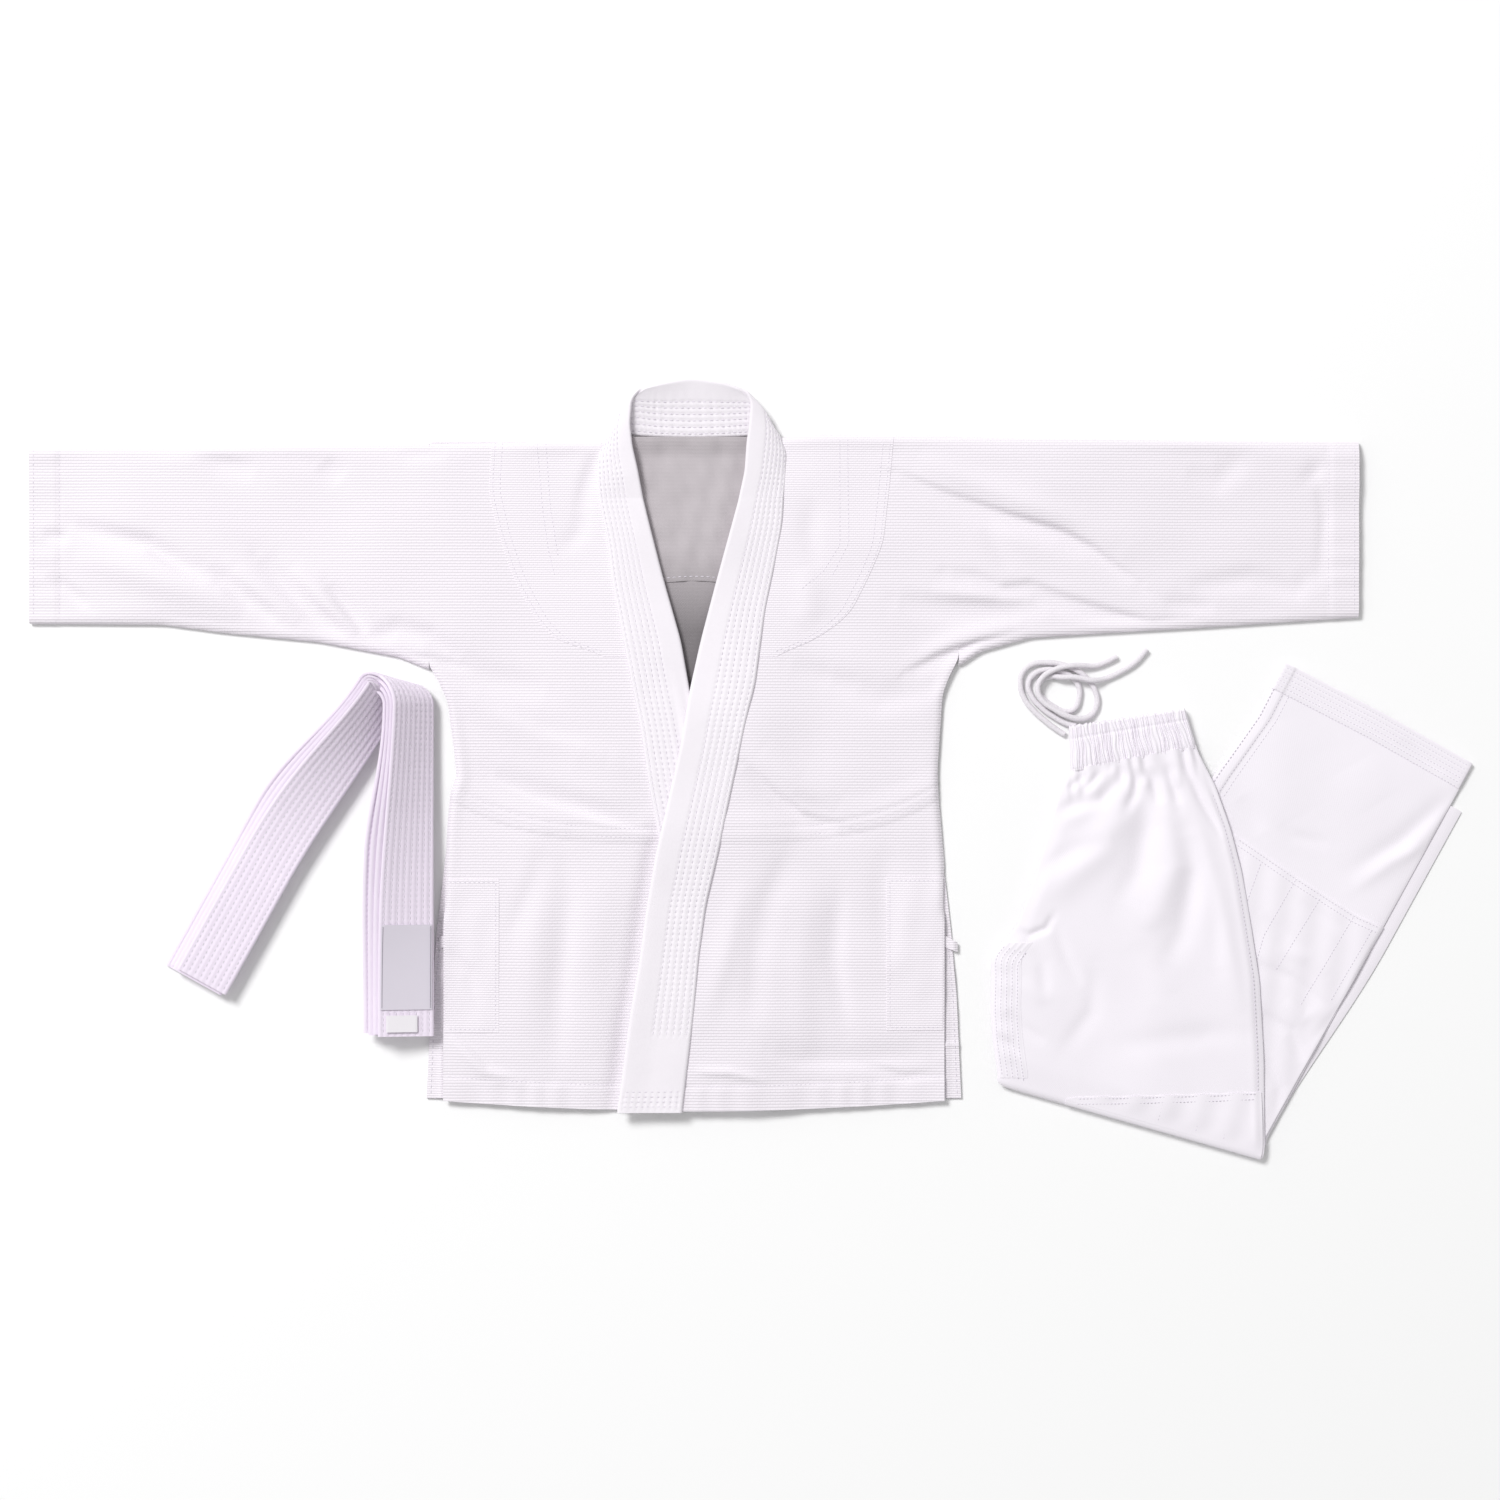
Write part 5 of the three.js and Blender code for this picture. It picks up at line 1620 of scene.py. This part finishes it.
class UNIFORM_OT_waist(PieceOperator, bpy.types.Operator):
    """The gathered waistband with its elastic, and the two free ends of the drawstring"""

    bl_idname = "uniform.waist"
    bl_label = "Waistband and drawstring"

    def build(self):
        run, height = 105.6, 42.0

        def section(t, w):
            top = WAIST[0] + (WAIST[1] - WAIST[0]) * np.asarray(t, float)[..., None]
            low = WAIST[3] + (WAIST[2] - WAIST[3]) * np.asarray(t, float)[..., None]
            place = low + (top - low) * np.asarray(w, float)[..., None]
            scallop = 0.7 * np.sin(t * 150 + 2 * np.sin(t * 31)) * smooth_step(0.9, 1.0, w)
            return [place[..., 0], place[..., 1] + scallop, 7.0 - 0.9 * smooth_step(0.3, 0, w)]

        def crinkles(t, w, outer):
            drift = 0.7 * np.sin(w * 5 + t * 19) + 0.4 * np.sin(w * 11 - t * 7)
            phase = t * 158 + 1.9 * np.sin(t * 23) + 1.1 * np.sin(t * 57 + 1) + drift
            pleat = 1.45 * (np.abs(np.sin(phase / 2)) ** 0.7 - 0.6) + 0.45 * np.sin(phase * 2.7 + w * 8)
            rows = -0.5 * hill((w - 0.72) * height, 0, 1.3) - 0.6 * hill((w - 0.06) * height, 0, 1.6)
            end = rounded(np.minimum(t, 1 - t) * run, 5.0)
            return (pleat + rows + 0.6) * end - 5.0 * (1 - end)

        waist = band("waistband_gathered", section, -1, 9.6, (330, 120), (run, height), crinkles, TROUSERS)
        paint(waist, trouser_cloth())
        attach(waist, "trouser_top")
        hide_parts("waistband_under", "waistband_over")
        elastic = frame["nodes"]["waist_elastic"]
        rubber = shared("ribbed_elastic", plain_weave, srgb("#E6E1E8"), thread=0.002, strength=0.5, roughness=0.6)
        elastic.data.materials.clear()
        elastic.data.materials.append(rubber)
        self.drawstring()

    def drawstring(self):
        corner = TROUSERS(-23.7, 319.6, 0)
        size = settings("uniform_sewing").cord
        cotton = shared("braided_cotton_cord", braided_cord, srgb("#EFEAF0"))
        for name, node, run, points in (("drawstring_cord_over", "drawstring_over_end", 0.320, OVER_END),
                                        ("drawstring_cord_under", "drawstring_under_end", 0.297, UNDER_END)):
            deselect()
            bpy.ops.curve.primitive_bezier_curve_add()
            cord = bpy.context.object
            cord.name = cord.data.name = name
            curve = cord.data
            curve.splines.clear()
            spline = curve.splines.new("BEZIER")
            spline.bezier_points.add(len(points) - 1)
            for knot, (x, y, z) in zip(spline.bezier_points, points):
                knot.co = (corner[0] + x * MM, corner[1] + y * MM, z * MM)
                knot.handle_left_type = knot.handle_right_type = "AUTO"
            curve.dimensions = "3D"
            curve.bevel_depth = size / 2
            curve.bevel_resolution = 4
            curve.resolution_u = 10
            curve.use_fill_caps = True
            curve.materials.append(cotton)
            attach(cord, "trouser_top")
            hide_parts(node)
            tuple(spline.bezier_points[0].co)


# Centre lines of the drawstring's two free ends, in millimetres from the waistband's upper left corner.
OVER_END = [
    (-3.4, -3.4, 2.6), (-10.5, 1, 2.6), (-20.5, 8.6, 2.6), (-31.5, 18.5, 2.6), (-39.8, 29.5, 2.6), (-43, 41, 2.6),
    (-41, 52, 2.6), (-32, 59.7, 2.6), (-19, 61.2, 2.6), (-6, 59.5, 2.6), (6, 55, 2.6), (17, 47, 2.6),
    (24.5, 35, 2.6), (26, 24, 2.6), (21, 14.5, 3), (11.5, 10.8, 5.8), (0, 12.6, 8), (-12, 18.5, 8.1),
    (-23.5, 27, 7.9), (-27.8, 37, 7.9), (-24, 47, 8), (-13, 54.5, 8.1), (0, 58, 8.1), (12, 58.5, 6), (23, 58, 3),
    (33, 61, 2.6), (44, 66.5, 2.6),
]
UNDER_END = [
    (7, 4.5, 2.6), (-2.5, 6.6, 2.6), (-12.3, 12, 2.6), (-24, 20.6, 2.6), (-33, 31.2, 2.6), (-36, 41.5, 2.6),
    (-31, 50.3, 2.6), (-20, 54.8, 2.6), (-8, 53.2, 2.6), (3, 48.5, 2.6), (9.5, 39.5, 2.6), (9.8, 29, 2.6),
    (6, 20, 2.6), (-2, 17.2, 2.6), (-12, 21, 2.6), (-21.5, 28, 2.6), (-27.3, 37, 2.6), (-24, 45.2, 2.6),
    (-15.5, 48.7, 3.6), (-6.5, 47.9, 6.4), (3, 48, 8.1), (13, 46.6, 8.1), (22, 45, 7.6), (33, 46.6, 3),
    (47.5, 53, 2.6), (60, 61, 2.6), (71, 73, 2.6),
]


# ---- Stage ----
LAYOUT_CENTRE = (50.4, -278.1)
FLOOR_SIZE = 14
FLOOR_LEVEL = -0.0006
KEY_AWAY = (-3.6, 3.9, 6.4)
KEY_SIZE = 2.4


class UNIFORM_OT_stage(PieceOperator, bpy.types.Operator):
    """A plain white floor, soft studio light from the upper left, and the camera straight above"""

    bl_idname = "uniform.stage"
    bl_label = "Stage"

    def build(self):
        stage = settings("uniform_stage")
        centre = JACKET(*LAYOUT_CENTRE, 0)
        deselect()
        bpy.ops.mesh.primitive_plane_add(size=FLOOR_SIZE, location=(centre[0], centre[1], FLOOR_LEVEL))
        floor = bpy.context.object
        floor.name = "floor"
        bpy.ops.object.transform_apply(location=True, rotation=False, scale=False)
        material, tree, shader = new_material("matt_white_paper", 0.95)
        shader.inputs["Base Color"].default_value = (0.95, 0.95, 0.95, 1)
        floor.data.materials.append(material)
        floor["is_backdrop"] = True

        def lamp(name, place, size, power):
            deselect()
            bpy.ops.object.light_add(type="AREA", location=place)
            light = bpy.context.object
            light.name = light.data.name = name
            light.data.shape = "SQUARE"
            light.data.size = size
            light.data.energy = power
            aim = Vector((centre[0], centre[1], 0)) - Vector(place)
            light.rotation_euler = aim.to_track_quat("-Z", "Y").to_euler()

        lamp("key_light", (centre[0] + KEY_AWAY[0], centre[1] + KEY_AWAY[1], KEY_AWAY[2]), KEY_SIZE, stage.key)

        deselect()
        bpy.ops.object.camera_add(location=(centre[0], centre[1], stage.height), rotation=(0, 0, 0))
        camera = bpy.context.object
        camera.name = camera.data.name = "camera_above"
        camera.data.lens = stage.lens
        camera.data.sensor_width = 36
        bpy.context.scene.camera = camera

        world = bpy.data.worlds.new("studio_air")
        world.use_nodes = True
        air = world.node_tree.nodes["Background"]
        air.inputs["Color"].default_value = (1, 1, 1, 1)
        air.inputs["Strength"].default_value = stage.fill
        bpy.context.scene.world = world
        bpy.context.scene.view_settings.view_transform = "Standard"


class UNIFORM_PT_panel(bpy.types.Panel):
    """Lists the settings and the pieces"""

    bl_label = "Uniform"
    bl_idname = "UNIFORM_PT_panel"
    bl_space_type = "VIEW_3D"
    bl_region_type = "UI"
    bl_category = "Uniform"

    def draw(self, context):
        for group in GROUPS:
            box = self.layout.box()
            box.label(text=GROUPS[group][1])
            values = settings(group)
            for key in values.__annotations__:
                box.prop(values, key)
        column = self.layout.column(align=True)
        for operator in OPERATORS:
            column.operator(operator.bl_idname)


GROUPS = {
    "uniform_cloth": (UniformClothSettings, "Cloth"),
    "uniform_sewing": (UniformSewingSettings, "Sewing"),
    "uniform_colours": (UniformColourSettings, "Colours"),
    "uniform_stage": (UniformStageSettings, "Stage"),
}
OPERATORS = (UNIFORM_OT_stage, UNIFORM_OT_waist, UNIFORM_OT_legs, UNIFORM_OT_belt, UNIFORM_OT_back,
             UNIFORM_OT_sleeves, UNIFORM_OT_fronts, UNIFORM_OT_collar)


def register():
    for name, (group, label) in GROUPS.items():
        bpy.utils.register_class(group)
        setattr(bpy.types.Scene, name, PointerProperty(type=group))
    for operator in OPERATORS:
        bpy.utils.register_class(operator)
    bpy.utils.register_class(UNIFORM_PT_panel)


def unregister():
    bpy.utils.unregister_class(UNIFORM_PT_panel)
    for operator in reversed(OPERATORS):
        bpy.utils.unregister_class(operator)
    for name, (group, label) in reversed(GROUPS.items()):
        delattr(bpy.types.Scene, name)
        bpy.utils.unregister_class(group)


def main():
    register()
    for operator in OPERATORS:
        family, name = operator.bl_idname.split(".")
        getattr(getattr(bpy.ops, family), name)()
    plain = lambda box: [[float(c) for c in corner] for corner in box]
    {"cad_box": plain(cad_box), "visual_box": plain(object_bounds())}


if __name__ == "__main__":
    main()
